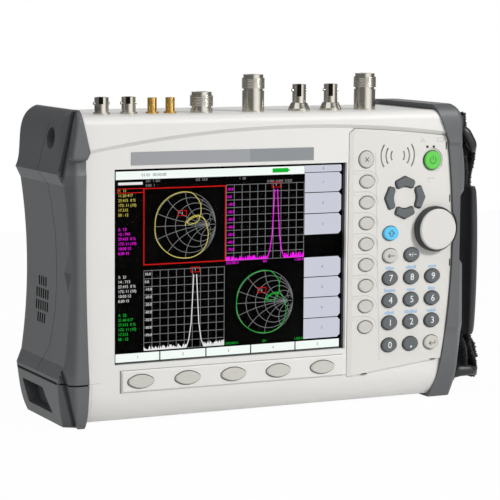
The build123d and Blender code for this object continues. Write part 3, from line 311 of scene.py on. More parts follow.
def plated(name, colour, roughness):
    """Turned and plated metal: bright, with faint rings left by the lathe.

    The rings are drawn wider apart than the real ones, so that they show.
    """
    material, tree = new_material(name)
    where = add(tree, "ShaderNodeTexCoord").outputs["Object"]
    rings = add(tree, "ShaderNodeTexWave", {
        "Scale": WAVE_REPEAT / (RING_PITCH * MM), "Distortion": 0.6, "Detail": 1.0}, {"Vector": where},
        wave_type="BANDS", bands_direction="Z")
    bump = add(tree, "ShaderNodeBump", {"Strength": 0.15, "Distance": 0.02 * MM}, {
        "Height": rings.outputs[1]})
    surface(tree, {"Metallic": 1.0}, {
        "Base Color": toned(tree, where, colour, patch_mm=9.0, spread=0.06),
        "Roughness": worn(tree, rings.outputs[1], roughness - 0.04, roughness + 0.05),
        "Normal": bump.outputs[0],
    })
    return material


def woven(name, colour, thread_mm):
    """Woven nylon: crossing threads that catch the light one by one, coarser than real ones to show."""
    material, tree = new_material(name)
    where = add(tree, "ShaderNodeTexCoord").outputs["Object"]
    # One repeat of the wave spans a thread and the gap beside it
    scale = 1 / (thread_mm * MM) / math.tau
    warp, weft = (add(tree, "ShaderNodeTexWave", {"Scale": scale, "Distortion": 0.4}, {"Vector": where},
                      wave_type="BANDS", bands_direction=axis) for axis in "YZ")
    cross = add(tree, "ShaderNodeMath", None, {0: warp.outputs[1], 1: weft.outputs[1]},
                operation="MULTIPLY")
    bump = add(tree, "ShaderNodeBump", {"Strength": 0.9, "Distance": 0.3 * MM}, {
        "Height": cross.outputs[0]})
    surface(tree, {"Sheen Weight": 0.25, "Sheen Roughness": 0.5}, {
        "Base Color": toned(tree, where, colour, patch_mm=3.0, spread=0.25),
        "Roughness": worn(tree, cross.outputs[0], low=0.65, high=0.85),
        "Normal": bump.outputs[0],
    })
    return material


def vinyl(name, colour):
    """Soft vinyl over foam: satin black with a pebbled grain, drawn coarse enough to show."""
    material, tree = new_material(name)
    where = add(tree, "ShaderNodeTexCoord").outputs["Object"]
    pebble = add(tree, "ShaderNodeTexVoronoi", {"Scale": 1 / (0.9 * MM)}, {"Vector": where})
    bump = add(tree, "ShaderNodeBump", {"Strength": 0.2, "Distance": 0.08 * MM}, {
        "Height": pebble.outputs[0]})
    surface(tree, {"IOR": 1.5}, {
        "Base Color": toned(tree, where, colour, patch_mm=14.0, spread=0.2),
        "Roughness": worn(tree, pebble.outputs[0], low=0.38, high=0.5),
        "Normal": bump.outputs[0],
    })
    return material


def acrylic(name):
    """Clear acrylic: almost nothing to see but a thin gloss."""
    material, tree = new_material(name)
    where = add(tree, "ShaderNodeTexCoord").outputs["Object"]
    smear = add(tree, "ShaderNodeTexNoise", {"Scale": 1 / (30 * MM), "Detail": 5.0}, {"Vector": where})
    surface(tree, {"Base Color": linear("FFFFFF"), "IOR": 1.02, "Transmission Weight": 1.0}, {
        "Roughness": worn(tree, smear.outputs[0], low=0.0, high=0.02),
    })
    return material


def lit(name, code):
    """A patch of the lit display: the colour comes out of the panel, not off it."""
    material, tree = new_material(name)
    where = add(tree, "ShaderNodeTexCoord").outputs["Object"]
    dots = add(tree, "ShaderNodeTexNoise", {"Scale": 1 / (0.5 * MM), "Detail": 0.0}, {"Vector": where})
    colour = linear(code)
    dim = tuple(c * 0.94 for c in colour[:3]) + (1.0,)
    glow = add(tree, "ShaderNodeMix", {6: dim, 7: colour}, {0: dots.outputs[0]}, data_type="RGBA")
    surface(tree, {"Base Color": (0.0, 0.0, 0.0, 1.0), "Roughness": 0.6, "Specular IOR Level": 0.0,
                   "Emission Strength": 1.0}, {"Emission Color": glow.outputs[2]})
    return material


def unlit(name, colour):
    """Unlit display glass behind an anti-glare film: all but black, with no gloss of its own."""
    material, tree = new_material(name)
    where = add(tree, "ShaderNodeTexCoord").outputs["Object"]
    film = add(tree, "ShaderNodeTexNoise", {"Scale": 1 / (0.5 * MM), "Detail": 1.0}, {"Vector": where})
    surface(tree, {"IOR": 1.5, "Specular IOR Level": 0.02}, {
        "Base Color": toned(tree, where, colour, patch_mm=8.0, spread=0.1),
        "Roughness": worn(tree, film.outputs[0], low=0.6, high=0.7),
    })
    return material


def printed(name, colour):
    """Screen-printed ink: flat colour, slightly uneven where the mesh left it thin."""
    material, tree = new_material(name)
    where = add(tree, "ShaderNodeTexCoord").outputs["Object"]
    mesh = add(tree, "ShaderNodeTexNoise", {"Scale": 1 / (0.4 * MM), "Detail": 2.0}, {"Vector": where})
    surface(tree, {"IOR": 1.5}, {
        "Base Color": toned(tree, where, colour, patch_mm=2.5, spread=0.05),
        "Roughness": worn(tree, mesh.outputs[0], low=0.5, high=0.62),
    })
    return material


def circuit(name, colour):
    """Solder-masked glass-fibre board: gloss green over a faint grid of tracks."""
    material, tree = new_material(name)
    where = add(tree, "ShaderNodeTexCoord").outputs["Object"]
    tracks = add(tree, "ShaderNodeTexBrick", {
        "Scale": 1 / (12 * MM), "Color1": colour, "Color2": tuple(c * 1.3 for c in colour[:3]) + (1.0,),
        "Mortar": linear("3A6B45")}, {"Vector": where})
    surface(tree, {"Roughness": 0.3, "IOR": 1.5}, {"Base Color": tracks.outputs[0]})
    return material


def paint(names, material):
    """Give CAD pieces a finish."""
    for name in names:
        slots = NODES[name].data.materials
        slots.clear()
        slots.append(material)


def piece(name, mesh, material, body):
    """Link a finished mesh as a piece that rides on a body."""
    mesh.name = name
    mesh.materials.clear()
    mesh.materials.append(material)
    made = bpy.data.objects.new(name, mesh)
    bpy.context.scene.collection.objects.link(made)
    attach(made, body)
    return made


def to_mesh(form, name, smooth_angle=None):
    """Turn a bmesh into a mesh with outward faces."""
    bmesh.ops.recalc_face_normals(form, faces=form.faces)
    mesh = bpy.data.meshes.new(name)
    form.to_mesh(mesh)
    form.free()
    if smooth_angle is not None:
        mesh.shade_smooth()
        mesh.set_sharp_from_angle(angle=math.radians(smooth_angle))
    return mesh


def formed(name, form, material, body, smooth_angle=None):
    """Link a finished form as a piece that rides on a body."""
    return piece(name, to_mesh(form, name, smooth_angle), material, body)


def facing(origin):
    """Places (right, up, out) in millimetres on a plane that faces the front."""
    return lambda u, v, out: Vector((origin.x + u * MM, origin.y - out * MM, origin.z + v * MM))


def leaning(below, above, apart):
    """Places (back, up, out) on a plane that faces left, through two places some millimetres apart."""
    return lambda u, v, out: below.lerp(above, 0.5 + v / apart) + Vector((-out, u, 0)) * MM


def loft(form, rows, closed=False):
    """Join rows of points into a tube, closed into a loop or capped at both ends."""
    count = len(rows[0])
    onward = rows[1:] + rows[:1] if closed else rows[1:]
    for a, b in zip(rows, onward):
        for i in range(count):
            form.faces.new((a[i], b[i], b[(i + 1) % count], a[(i + 1) % count]))
    if not closed:
        form.faces.new(rows[0])
        form.faces.new(rows[-1][::-1])


def plate(form, outline, place, low, high):
    """Add a flat plate with a closed outline."""
    loft(form, [[form.verts.new(place(u, v, out)) for u, v in outline] for out in (low, high)])


def oblong(u0, v0, u1, v1):
    """Corners of an upright rectangle."""
    return [(u0, v0), (u1, v0), (u1, v1), (u0, v1)]


def disc(u, v, radius, sides=20):
    """Corners of a round."""
    turns = [2 * math.pi * i / sides for i in range(sides)]
    return [(u + radius * math.cos(a), v + radius * math.sin(a)) for a in turns]


# Least cosine of a mitre, so that sharp corners stay short, and the length at which a run turns back
MITRE_LEAST = 0.4
MITRE_NONE = 1e-6


def ribbon(form, points, width, place, low, high, closed=False):
    """Add a flat stroke of even width along points, mitred at its corners."""
    rows = []
    count = len(points)
    for i, point in enumerate(points):
        here = Vector(point)
        before = Vector(points[i - 1]) if closed or i > 0 else None
        after = Vector(points[(i + 1) % count]) if closed or i < count - 1 else None
        run_in = (here - before).normalized() if before else (after - here).normalized()
        run_out = (after - here).normalized() if after else run_in
        side_in = Vector((-run_in.y, run_in.x))
        side = side_in + Vector((-run_out.y, run_out.x))
        side = side.normalized() if side.length > MITRE_NONE else side_in
        reach = width / 2 / max(MITRE_LEAST, side.dot(side_in))
        left = here + side * reach
        right = here - side * reach
        rows.append([form.verts.new(place(*p, d)) for p, d in
                     ((left, high), (right, high), (right, low), (left, low))])
    loft(form, rows, closed)


def letter(form, text, height, place, u, v, low, high, align="CENTER"):
    """Add plain numbers or signs as raised print."""
    curve = bpy.data.curves.new("lettering", "FONT")
    curve.body = text
    curve.size = height
    curve.align_x = align
    curve.align_y = "CENTER"
    curve.resolution_u = 3
    curve.extrude = 0.5
    holder = bpy.data.objects.new("lettering", curve)
    bpy.context.scene.collection.objects.link(holder)
    drawn = bpy.data.meshes.new_from_object(holder.evaluated_get(bpy.context.evaluated_depsgraph_get()))
    for vertex in drawn.vertices:
        out = low + (high - low) * (vertex.co.z + 0.5)
        vertex.co = place(u + vertex.co.x, v + vertex.co.y, out)
    form.from_mesh(drawn)
    bpy.data.objects.remove(holder)
    bpy.data.curves.remove(curve)
    bpy.data.meshes.remove(drawn)


def node_tree(name, inputs):
    """A geometry tree with named inputs, and the sockets that give their values."""
    tree = bpy.data.node_groups.new(name, "GeometryNodeTree")
    tree.interface.new_socket("Geometry", in_out="INPUT", socket_type="NodeSocketGeometry")
    tree.interface.new_socket("Geometry", in_out="OUTPUT", socket_type="NodeSocketGeometry")
    for label, kind in inputs:
        tree.interface.new_socket(label, in_out="INPUT", socket_type=kind)
    return tree, add(tree, "NodeGroupInput").outputs


def close_tree(tree, geometry, material):
    """End a tree in real geometry with its material."""
    real = add(tree, "GeometryNodeRealizeInstances", None, {0: geometry})
    painted = add(tree, "GeometryNodeSetMaterial", None, {"Geometry": real.outputs[0], "Material": material})
    add(tree, "NodeGroupOutput", None, {0: painted.outputs[0]})


def grown(tree, points, values, edges=(), faces=()):
    """Run a geometry tree on a bare mesh and return the result as a plain mesh."""
    base = bpy.data.meshes.new("base")
    base.from_pydata([tuple(p) for p in points], list(edges), list(faces))
    holder = bpy.data.objects.new("base", base)
    bpy.context.scene.collection.objects.link(holder)
    modifier = holder.modifiers.new("grow", "NODES")
    modifier.node_group = tree
    for socket in tree.interface.items_tree:
        if socket.in_out == "INPUT" and socket.name in values:
            modifier[socket.identifier] = values[socket.name]
    mesh = bpy.data.meshes.new_from_object(holder.evaluated_get(bpy.context.evaluated_depsgraph_get()))
    bpy.data.objects.remove(holder)
    bpy.data.meshes.remove(base)
    if not mesh.polygons:
        raise RuntimeError("a geometry tree made nothing: " + tree.name)
    return mesh


def window_middle():
    """Middle of the screen opening on the plane of the bezel."""
    low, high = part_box("display_window")
    return Vector(((low.x + high.x) / 2, low.y - WINDOW_SINK * MM, (low.z + high.z) / 2))


def key_front(name):
    """Middle of a key's front face."""
    low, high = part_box(name)
    return Vector(((low.x + high.x) / 2, low.y, (low.z + high.z) / 2))


def on_bezel(place):
    """A place moved straight back to the plane of the bezel."""
    return Vector((place.x, window_middle().y, place.z))


def skin(mesh):
    """Search tree over the surface of a mesh."""
    return BVHTree.FromPolygons([vertex.co.copy() for vertex in mesh.vertices],
                                [list(face.vertices) for face in mesh.polygons])


def stepped(points, step):
    """Points at even steps along a run of straight lines."""
    run = []
    for a, b in zip(points, points[1:]):
        a, b = Vector(a), Vector(b)
        count = max(1, round((b - a).length / step))
        run += [a.lerp(b, i / count) for i in range(count)]
    return run + [Vector(points[-1])]


def skin_line(form, tree, starts, run, width, deep=0.3, proud=0.05):
    """Add a thin line where rays from starts first meet a surface."""
    hits = [tree.ray_cast(start, Vector(run))[:2] for start in starts]
    hits = [hit for hit in hits if hit[0]]
    rows = []
    for i, (here, normal) in enumerate(hits):
        ahead = hits[min(i + 1, len(hits) - 1)][0] - hits[max(i - 1, 0)][0]
        side = normal.cross(ahead).normalized() * (width / 2 * MM)
        top = here + normal * (proud * MM)
        low = here - normal * (deep * MM)
        rows.append([form.verts.new(p) for p in (top + side, top - side, low - side, low + side)])
    loft(form, rows)


def screw_tree():
    """Geometry tree: a cross-head screw that faces the back on each point."""
    tree, given = node_tree("Cross-head screw", (
        ("Radius", "NodeSocketFloat"), ("Height", "NodeSocketFloat"), ("Slot length", "NodeSocketFloat"),
        ("Slot width", "NodeSocketFloat"), ("Material", "NodeSocketMaterial")))
    head = add(tree, "GeometryNodeMeshCylinder", {"Vertices": 24}, {
        "Radius": given["Radius"], "Depth": given["Height"]})
    lift = add(tree, "ShaderNodeCombineXYZ", None, {"Z": given["Height"]})
    half = add(tree, "ShaderNodeVectorMath", {1: (SCREW_SLOT_RISE,) * 3}, {0: lift.outputs[0]},
               operation="MULTIPLY")
    for across, along in (("Slot length", "Slot width"), ("Slot width", "Slot length")):
        size = add(tree, "ShaderNodeCombineXYZ", None, {
            "X": given[across], "Y": given[along], "Z": given["Height"]})
        bar = add(tree, "GeometryNodeMeshCube", None, {"Size": size.outputs[0]})
        cut = add(tree, "GeometryNodeTransform", None, {
            "Geometry": bar.outputs[0], "Translation": half.outputs[0]})
        head = add(tree, "GeometryNodeMeshBoolean", None, {
            "Mesh 1": head.outputs[0], "Mesh 2": cut.outputs[0]}, operation="DIFFERENCE")
    turned = add(tree, "GeometryNodeTransform", {"Rotation": (-math.pi / 2, 0, 0)}, {
        "Geometry": head.outputs[0]})
    placed = add(tree, "GeometryNodeInstanceOnPoints", None, {
        "Points": given["Geometry"], "Instance": turned.outputs[0]})
    close_tree(tree, placed.outputs[0], given["Material"])
    return tree


class ANALYZER_OT_case(bpy.types.Operator):
    """Finish the shells, the fascia and what is printed or set into them"""
    bl_idname = "analyzer.case"
    bl_label = "Case"

    def execute(self, context):
        colours = context.scene.analyzer_colours
        paint(["front_shell", "rear_shell"], moulded("Moulded ABS shell", colours.shell, *SHELL_FINISH))
        paint(["keypad_fascia"], moulded("Moulded ABS fascia", colours.fascia, *FASCIA_FINISH))
        bezel = facing(window_middle())
        for name, (left, right) in NAME_STRIPS.items():
            form = bmesh.new()
            plate(form, oblong(left, NAME_STRIP_LOW, right, NAME_STRIP_HIGH), bezel, 0, NAME_STRIP_THICK)
            label = moulded("Polyester label " + name, getattr(colours, name), *LABEL_FINISH)
            formed(name, form, label, "case")
        self.openings(bezel)
        self.seams(bezel)
        self.screws()
        signs = bmesh.new()
        span = (FASCIA_PROUD, FASCIA_PROUD + context.scene.analyzer_sizes.ink_thick / MM)
        for points, width, closed in FASCIA_SIGNS:
            ribbon(signs, points, width, bezel, *span, closed)
        plate(signs, oblong(*CELL_TIP), bezel, *span)
        formed("fascia_signs", signs, printed("Grey ink", colours.print_grey), "case")
        return {"FINISHED"}

    def openings(self, bezel):
        """Dark lamps and slits in the fascia, and the dark lining of the screen's opening: a black gasket
        that also paints the shade deep in its walls.
        """
        black = moulded("Black polycarbonate", linear("0C0C0D"), *LENS_FINISH)
        lamps = bmesh.new()
        for u, v in LAMP_PLACES:
            plate(lamps, disc(u, v, LAMP_RADIUS), bezel, FASCIA_PROUD, FASCIA_PROUD + LAMP_PROUD)
        formed("status_lamps", lamps, black, "case")
        slits = bmesh.new()
        for wide, tall, middles in SLITS:
            for u, v in middles:
                plate(slits, oblong(u - wide / 2, v - tall / 2, u + wide / 2, v + tall / 2), bezel,
                      FASCIA_PROUD - SLIT_SINK, FASCIA_PROUD + SLIT_PROUD)
        formed("seam_slits", slits, black, "case")
        lining = bmesh.new()
        half_u, half_v = (half - LINING_THICK / 2 for half in OPENING_HALF)
        ribbon(lining, oblong(-half_u, -half_v, half_u, half_v), LINING_THICK, bezel,
               LINING_LIFT - WINDOW_SINK, LINING_TOP, closed=True)
        # Black gasket rubber that also stands for painted shade deep in the opening's walls
        rubber = moulded("Black gasket rubber", linear("2C2A29"), *SHADE_FINISH)
        formed("window_gasket", lining, rubber, "case")

    def seams(self, bezel):
        """Lines of painted shade on the white mouldings: beside the soft keys, past the door, round the lower
        strip.
        """
        span = (FASCIA_PROUD - CREASE_SINK, FASCIA_PROUD + CREASE_PROUD)
        crease = bmesh.new()
        ribbon(crease, FASCIA_CREASE, CREASE_WIDE, bezel, *span)
        for name in SOFT_KEYS:
            ribbon(crease, smooth_run(SOFT_KEY_LIP), LIP_WIDE, facing(on_bezel(key_front(name))), *span)
        # Pale grey painted shade along the fascia's crease and the lips over the soft keys
        faint = moulded("Shaded ABS crease", linear("C1BEB7"), *CREASE_FINISH)
        formed("fascia_crease", crease, faint, "case")
        # Darker painted shadow along the seams round the lower strip
        groove = moulded("Shaded ABS groove", linear("75736D"), *CREASE_FINISH)
        tree = skin(NODES["front_shell"].data)
        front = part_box("knob_cap")[0].y
        door_edge = Vector((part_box("battery_door")[1].x, 0, 0))
        # The seam's end past the door gets the pale painted shade, the lower strip the dark painted shadow
        for name, origin, lines, material in (("door_seam_end", door_edge, DOOR_SEAM_ENDS, faint),
                                              ("strip_seam", window_middle(), STRIP_SEAMS, groove)):
            form = bmesh.new()
            for points, width in lines:
                starts = [Vector((origin.x + u * MM, front, origin.z + v * MM))
                          for u, v in stepped(points, SEAM_STEP)]
                skin_line(form, tree, starts, (0, 1, 0), width, CREASE_SINK, CREASE_PROUD)
            formed(name, form, material, "case")

    def screws(self):
        """Cross-head screws in the recesses of the rear shell."""
        low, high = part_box("rear_shell")
        steel = plated("Zinc-plated steel", linear("8E9092"), roughness=0.32)
        sink = high.y - SCREW_SINK * MM + SCREW_HEIGHT / 2 * MM
        points = [(x, sink, z) for x in (low.x + SCREW_MARGIN[0] * MM, high.x - SCREW_MARGIN[0] * MM)
                  for z in (low.z + SCREW_MARGIN[1] * MM, high.z - SCREW_MARGIN[1] * MM)]
        mesh = grown(screw_tree(), points, {
            "Radius": SCREW_RADIUS * MM, "Height": SCREW_HEIGHT * MM, "Slot length": SCREW_SLOT[0] * MM,
            "Slot width": SCREW_SLOT[1] * MM, "Material": steel})
        piece("rear_screws", mesh, steel, "case")


class ANALYZER_OT_boots(bpy.types.Operator):
    """Finish the end bumpers and the battery door"""
    bl_idname = "analyzer.boots"
    bl_label = "Boots"

    def execute(self, context):
        boot = context.scene.analyzer_colours.boot
        rubber = moulded("Moulded elastomer", boot, *BOOT_FINISH, spread=0.05)
        paint(["left_boot", "right_boot", "battery_door", "tilt_bail"], rubber)
        tree = skin(NODES["left_boot"].data)
        front = window_middle().y
        low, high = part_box("left_boot")
        out = low.x - RAY_CLEAR * MM
        line = bmesh.new()
        starts = [Vector((out, front + y * MM, z * MM)) for y, z in stepped(SIDE_SEAM, SEAM_STEP)]
        skin_line(line, tree, starts, (1, 0, 0), SEAM_WIDE)
        # Dark line of painted shade along the seam on the bumper's side
        shade = moulded("Shaded elastomer seam", linear("2A2B2D"), *SHADE_FINISH)
        formed("boot_seam", line, shade, "case")
        # Near-black painted shade for the open seam over the door and the walls of the vent's slots
        gap = moulded("Open seam", linear("0F1011"), *SHADE_FINISH, gloss=SHADOW_GLOSS)
        self.door_seam(tree, low, high, front, gap)
        middle = sum(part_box("cooling_fan"), Vector()) / 2
        self.vent(tree, out, middle, gap)
        self.grooves(tree, out, middle.y - GROOVE_AHEAD * MM, high.z / MM)
        return {"FINISHED"}

    def door_seam(self, tree, low, high, front, dark):
        """Dark line of painted shade in the open seam over the battery door: along the side, round the corner
        and across the front.
        """
        form = bmesh.new()
        z = DOOR_SEAM_Z * MM
        first = (front / MM + DOOR_SEAM_SIDE_SHORT[0], DOOR_SEAM_Z)
        last = (high.y / MM - DOOR_SEAM_SIDE_SHORT[1], DOOR_SEAM_Z)
        side = [Vector((low.x - RAY_CLEAR * MM, y * MM, z)) for y, _ in stepped((first, last), SEAM_STEP)]
        skin_line(form, tree, side, (1, 0, 0), DOOR_SEAM_SIDE_WIDE)
        corner = Vector((low.x, front, z)) - Vector((RAY_CLEAR, RAY_CLEAR, 0)) * MM
        steps = range(-DOOR_CORNER_REACH, DOOR_CORNER_REACH + 1)
        slant = [corner + Vector((t, -t, 0)) * MM for t in steps]
        skin_line(form, tree, slant, DOOR_CORNER_INWARD, DOOR_SEAM_WIDE)
        first = (low.x / MM + DOOR_SEAM_FRONT_SHORT[0], DOOR_SEAM_Z)
        last = (high.x / MM - DOOR_SEAM_FRONT_SHORT[1], DOOR_SEAM_Z)
        face = [Vector((x * MM, low.y - RAY_CLEAR * MM, z))
                for x, _ in stepped((first, last), DOOR_SEAM_FRONT_STEP)]
        skin_line(form, tree, face, (0, 1, 0), DOOR_SEAM_WIDE)
        formed("door_seam", form, dark, "case")

    def vent(self, tree, out, middle, dark):
        """Painted shade on the walls of the vent's slots: dark linings, which leave the slots open to the
        fan.
        """
        pitch_y, pitch_z = VENT_PITCH
        half_w, half_t = ((side - VENT_LINING) / 2 - VENT_LINING_CLEAR for side in VENT_SLOT)
        rib = Vector((0, 0, pitch_z / 2 * MM))
        form = bmesh.new()
        for row, count in enumerate(VENT_ROWS):
            z = middle.z + (row - (len(VENT_ROWS) - 1) / 2) * pitch_z * MM
            for i in range(count):
                start = Vector((out, middle.y + (i - (count - 1) / 2) * pitch_y * MM, z))
                below, above = (tree.ray_cast(start + step, Vector((1, 0, 0)))[0] for step in (-rib, rib))
                ribbon(form, oblong(-half_w, -half_t, half_w, half_t), VENT_LINING,
                       leaning(below, above, pitch_z), *VENT_LINING_SPAN, closed=True)
        formed("vent_walls", form, dark, "case")

    def grooves(self, tree, out, line_y, top):
        """Shade in the depth of the V grooves beside the front pillar, on the boot and on the door."""
        high_tip, low_tip = (share * top for share in GROOVE_TIP_SHARES)
        door = skin(NODES["battery_door"].data)
        on_door = (DOOR_SEAM_Z - GROOVE_UNDER_SEAM, GROOVE_FOOT)
        for tone, (back, wide, start, proud, code) in GROOVE_SHADES.items():
            label = "Shaded elastomer groove " + tone
            shade = moulded(label, linear(code), *SHADE_FINISH, gloss=GROOVE_GLOSS)
            upper = (high_tip + (top - high_tip) * start, top - GROOVE_TOP_SHORT)
            lower = (low_tip * (1 - start), DOOR_SEAM_Z + GROOVE_OVER_DOOR)
            for name, body, face, spans in (("groove_shade_", "case", tree, (upper, lower)),
                                            ("door_shade_", "door", door, (on_door,))):
                form = bmesh.new()
                for span in spans:
                    heights = stepped([(z, 0) for z in span], SEAM_STEP)
                    starts = [Vector((out, line_y + back * MM, point.x * MM)) for point in heights]
                    skin_line(form, face, starts, (1, 0, 0), wide, proud=proud)
                formed(name + tone, form, shade, body)


# Strokes of the signs on the pale and coloured keys, in millimetres
KEY_SIGNS = {
    "escape_key": ([(-1.5, -1.5), (1.5, 1.5)], [(-1.5, 1.5), (1.5, -1.5)]),
    "back_key": ([(2.6, 0), (-2.4, 0)], [(-0.9, 1.4), (-2.6, 0), (-0.9, -1.4)]),
    "enter_key": ([(2.4, 1.5), (2.4, -0.6), (-2.2, -0.6)], [(-0.8, 0.8), (-2.4, -0.6), (-0.8, -2.0)]),
    "shift_key": ([(-1.0, -1.9), (-1.0, 0), (-2.3, 0), (0, 2.3), (2.3, 0), (1.0, 0), (1.0, -1.9),
                   (-1.0, -1.9)],),
}
BLUE_LABEL_RUNS = {
    "digit_key_7": 6.2, "digit_key_8": 8.4, "digit_key_9": 6.2,
    "digit_key_4": 8.6, "digit_key_5": 6.2, "digit_key_6": 5.6,
    "digit_key_1": 7.2, "digit_key_2": 9.6, "digit_key_3": 7.4,
}
BLUE_LABEL_FOOT = 6.0
BLUE_LABEL_TALLS = (1.7, 2.4, 1.7)
BLUE_LABEL_WIDE = 0.5
BLUE_LABEL_PITCH = 0.95
BLUE_LABEL_SEED = 11
KEY_STROKE = 0.55
SIGN_KEY_SHARE = 0.72
POINT_RISE = -2.0
POINT_RADIUS = 0.75
POWER_STROKE = 0.6
POWER_RADIUS = 2.4
POWER_TURNS = range(-235, 56, 10)
POWER_STEM = ((0, 0.4), (0, 3.4))
# Rings of painted shade in the gaps round the keys
GAP_WIDE = 0.5
GAP_MIDDLE = 0.3
GAP_SPAN = (-0.25, 0.03)
# Distances in metres below which points count as one, and as on a cut
WELD_NEAR = 1e-6
CUT_NEAR = 1e-7


def cut_outline(name, y):
    """Outline (X, Z) of a CAD piece where an upright plane cuts it, in millimetres."""
    form = bmesh.new()
    form.from_mesh(NODES[name].data)
    bmesh.ops.remove_doubles(form, verts=form.verts, dist=WELD_NEAR)
    bmesh.ops.bisect_plane(form, geom=form.verts[:] + form.edges[:] + form.faces[:], dist=CUT_NEAR,
                           plane_co=(0, y, 0), plane_no=(0, 1, 0), clear_inner=True, clear_outer=True)
    start = max(form.verts, key=lambda vertex: vertex.co.x)
    loop = [start]
    onward = start.link_edges[0].other_vert(start)
    while onward != start:
        loop.append(onward)
        onward = next(edge.other_vert(onward) for edge in onward.link_edges
                      if edge.other_vert(onward) != loop[-2])
    points = [Vector((vertex.co.x / MM, vertex.co.z / MM)) for vertex in loop]
    form.free()
    return points


def swollen(points, grow):
    """A closed outline moved outwards by an even distance."""
    turn = sum(a.x * b.y - a.y * b.x for a, b in zip(points, points[1:] + points[:1]))
    side = math.copysign(grow, turn)
    moved = []
    for before, here, after in zip(points[-1:] + points, points, points[1:] + points[:1]):
        run = (here - before).normalized() + (after - here).normalized()
        moved.append(here + Vector((run.y, -run.x)).normalized() * side)
    return moved


class ANALYZER_OT_keys(bpy.types.Operator):
    """Finish the keys and print their numbers and signs"""
    bl_idname = "analyzer.keys"
    bl_label = "Keys"

    def execute(self, context):
        colours = context.scene.analyzer_colours
        sizes = context.scene.analyzer_sizes
        ink = sizes.ink_thick / MM
        for names, tint, colour, finish, spread in (
                (DARK_KEYS, "Dark", colours.key_dark, KEY_FINISH, 0.04),
                (LIGHT_KEYS, "Pale", colours.key_light, KEY_FINISH, 0.03),
                (["power_key"], "Green", colours.key_green, BRIGHT_KEY_FINISH, 0.04),
                (["shift_key"], "Blue", colours.key_blue, BRIGHT_KEY_FINISH, 0.04)):
            paint(names, moulded(tint + " silicone rubber", colour, *finish, spread))
        self.gaps()
        white = printed("White ink", linear("EFEFED"))
        tall = sizes.digit_height / MM
        numbers = [(name, name[-1], tall) for name in DIGIT_KEYS]
        for name, text, height in numbers + [("sign_key", "+/−", tall * SIGN_KEY_SHARE)]:
            form = bmesh.new()
            letter(form, text, height, facing(key_front(name)), 0, 0, 0, ink)
            formed(name + "_legend", form, white, name)
        form = bmesh.new()
        plate(form, disc(0, POINT_RISE, POINT_RADIUS), facing(key_front("point_key")), 0, ink)
        formed("point_key_legend", form, white, "point_key")
        dark = printed("Dark ink", linear("4A4A4A"))
        for name, strokes in KEY_SIGNS.items():
            form = bmesh.new()
            for stroke in strokes:
                ribbon(form, stroke, KEY_STROKE, facing(key_front(name)), 0, ink)
            formed(name + "_legend", form, dark, name)
        form = bmesh.new()
        turns = [math.radians(a) for a in POWER_TURNS]
        for stroke in ([(POWER_RADIUS * math.cos(a), POWER_RADIUS * math.sin(a)) for a in turns], POWER_STEM):
            ribbon(form, stroke, POWER_STROKE, facing(key_front("power_key")), 0, ink)
        green = printed("Deep green ink", linear("2E7A2A"))
        formed("power_key_legend", form, green, "power_key")
        self.second_labels(ink, printed("Blue ink", colours.print_blue))
        return {"FINISHED"}

    def second_labels(self, ink, blue):
        """Rows of short strokes over the number keys, which spell nothing."""
        form = bmesh.new()
        draw = random.Random(BLUE_LABEL_SEED)
        for name, run in BLUE_LABEL_RUNS.items():
            here = facing(on_bezel(key_front(name)))
            u = -run / 2
            while u < run / 2:
                top = BLUE_LABEL_FOOT + draw.choice(BLUE_LABEL_TALLS)
                plate(form, oblong(u, BLUE_LABEL_FOOT, u + BLUE_LABEL_WIDE, top), here,
                      FASCIA_PROUD, FASCIA_PROUD + ink)
                u += BLUE_LABEL_PITCH
        formed("second_labels", form, blue, "case")

    def gaps(self):
        """Dark rings of painted shade in the gaps where the keys pass through the panel."""
        panel = window_middle().y - FASCIA_PROUD * MM
        face = facing(Vector((0, panel, 0)))
        form = bmesh.new()
        for name in DARK_KEYS + LIGHT_KEYS + ["power_key", "shift_key"]:
            ring = swollen(cut_outline(name, panel), GAP_MIDDLE)
            ribbon(form, ring, GAP_WIDE, face, *GAP_SPAN, closed=True)
        shade = moulded("Shadowed gap", linear("35332F"), *GAP_FINISH, gloss=SHADOW_GLOSS)
        formed("key_gaps", form, shade, "case")


class ANALYZER_OT_knob(bpy.types.Operator):
    """Finish the tuning knob"""
    bl_idname = "analyzer.knob"
    bl_label = "Knob"

    def execute(self, context):
        colours = context.scene.analyzer_colours
        paint(["tuning_knob"], moulded("Dark moulded nylon", colours.knob_skirt, *SKIRT_FINISH))
        paint(["knob_cap"], moulded("Pale moulded ABS", colours.knob_cap, *CAP_FINISH))
        return {"FINISHED"}


# Colours of the lit picture, and heights of its layers over the display in millimetres
SCREEN_COLOURS = {
    "white": "F6FFFA", "pale": "CDD0DC", "grey": "77797A", "red": "C41616", "yellow": "D8CC5E",
    "magenta": "F61DF0", "green": "14B432", "trace_white": "E8E8E8", "text_dark": "50525C",
    "text_grey": "8E8E8E",
}
SHEET = (0.02, 0.10)
INK = (0.12, 0.16)
MARK = (0.18, 0.22)
CHART_LINE = (0.02, 0.06)
GRID_UPRIGHT = (0.02, 0.05)
GRID_LEVEL = (0.06, 0.09)

# Screen picture, in millimetres from its middle
TITLE_BAR = (-84.6, 58.8, 57.2, 64.3)
CHARGE_BARS = ((32.2, 60.3, 44.4, 63.3), (44.4, 61.2, 45.4, 62.4))
MENU_LEFT = 57.5
MENU_RIGHT = 86.3
MENU_TABS = ((59.8, 64.5), (45.8, 59.3), (31.0, 45.2), (16.0, 30.4), (-13.7, 0.0), (-28.2, -14.3),
             (-42.8, -28.8), (-57.5, -43.4))
MENU_CORNER = 2.0
MENU_TITLE_CORNER = 0.6
FOOT_BOXES = (-85.3, -52.3, -17.8, 16.4, 51.0, 86.3)
FOOT_GAP = 0.45
FOOT_LOW = -64.6
FOOT_HIGH = -58.9
# Red frames as corners and width
RED_FRAMES = (((-64.2, 0.9, -3.6, 52.4), 0.75), ((-83.4, 49.9, -64.6, 52.7), 0.5))
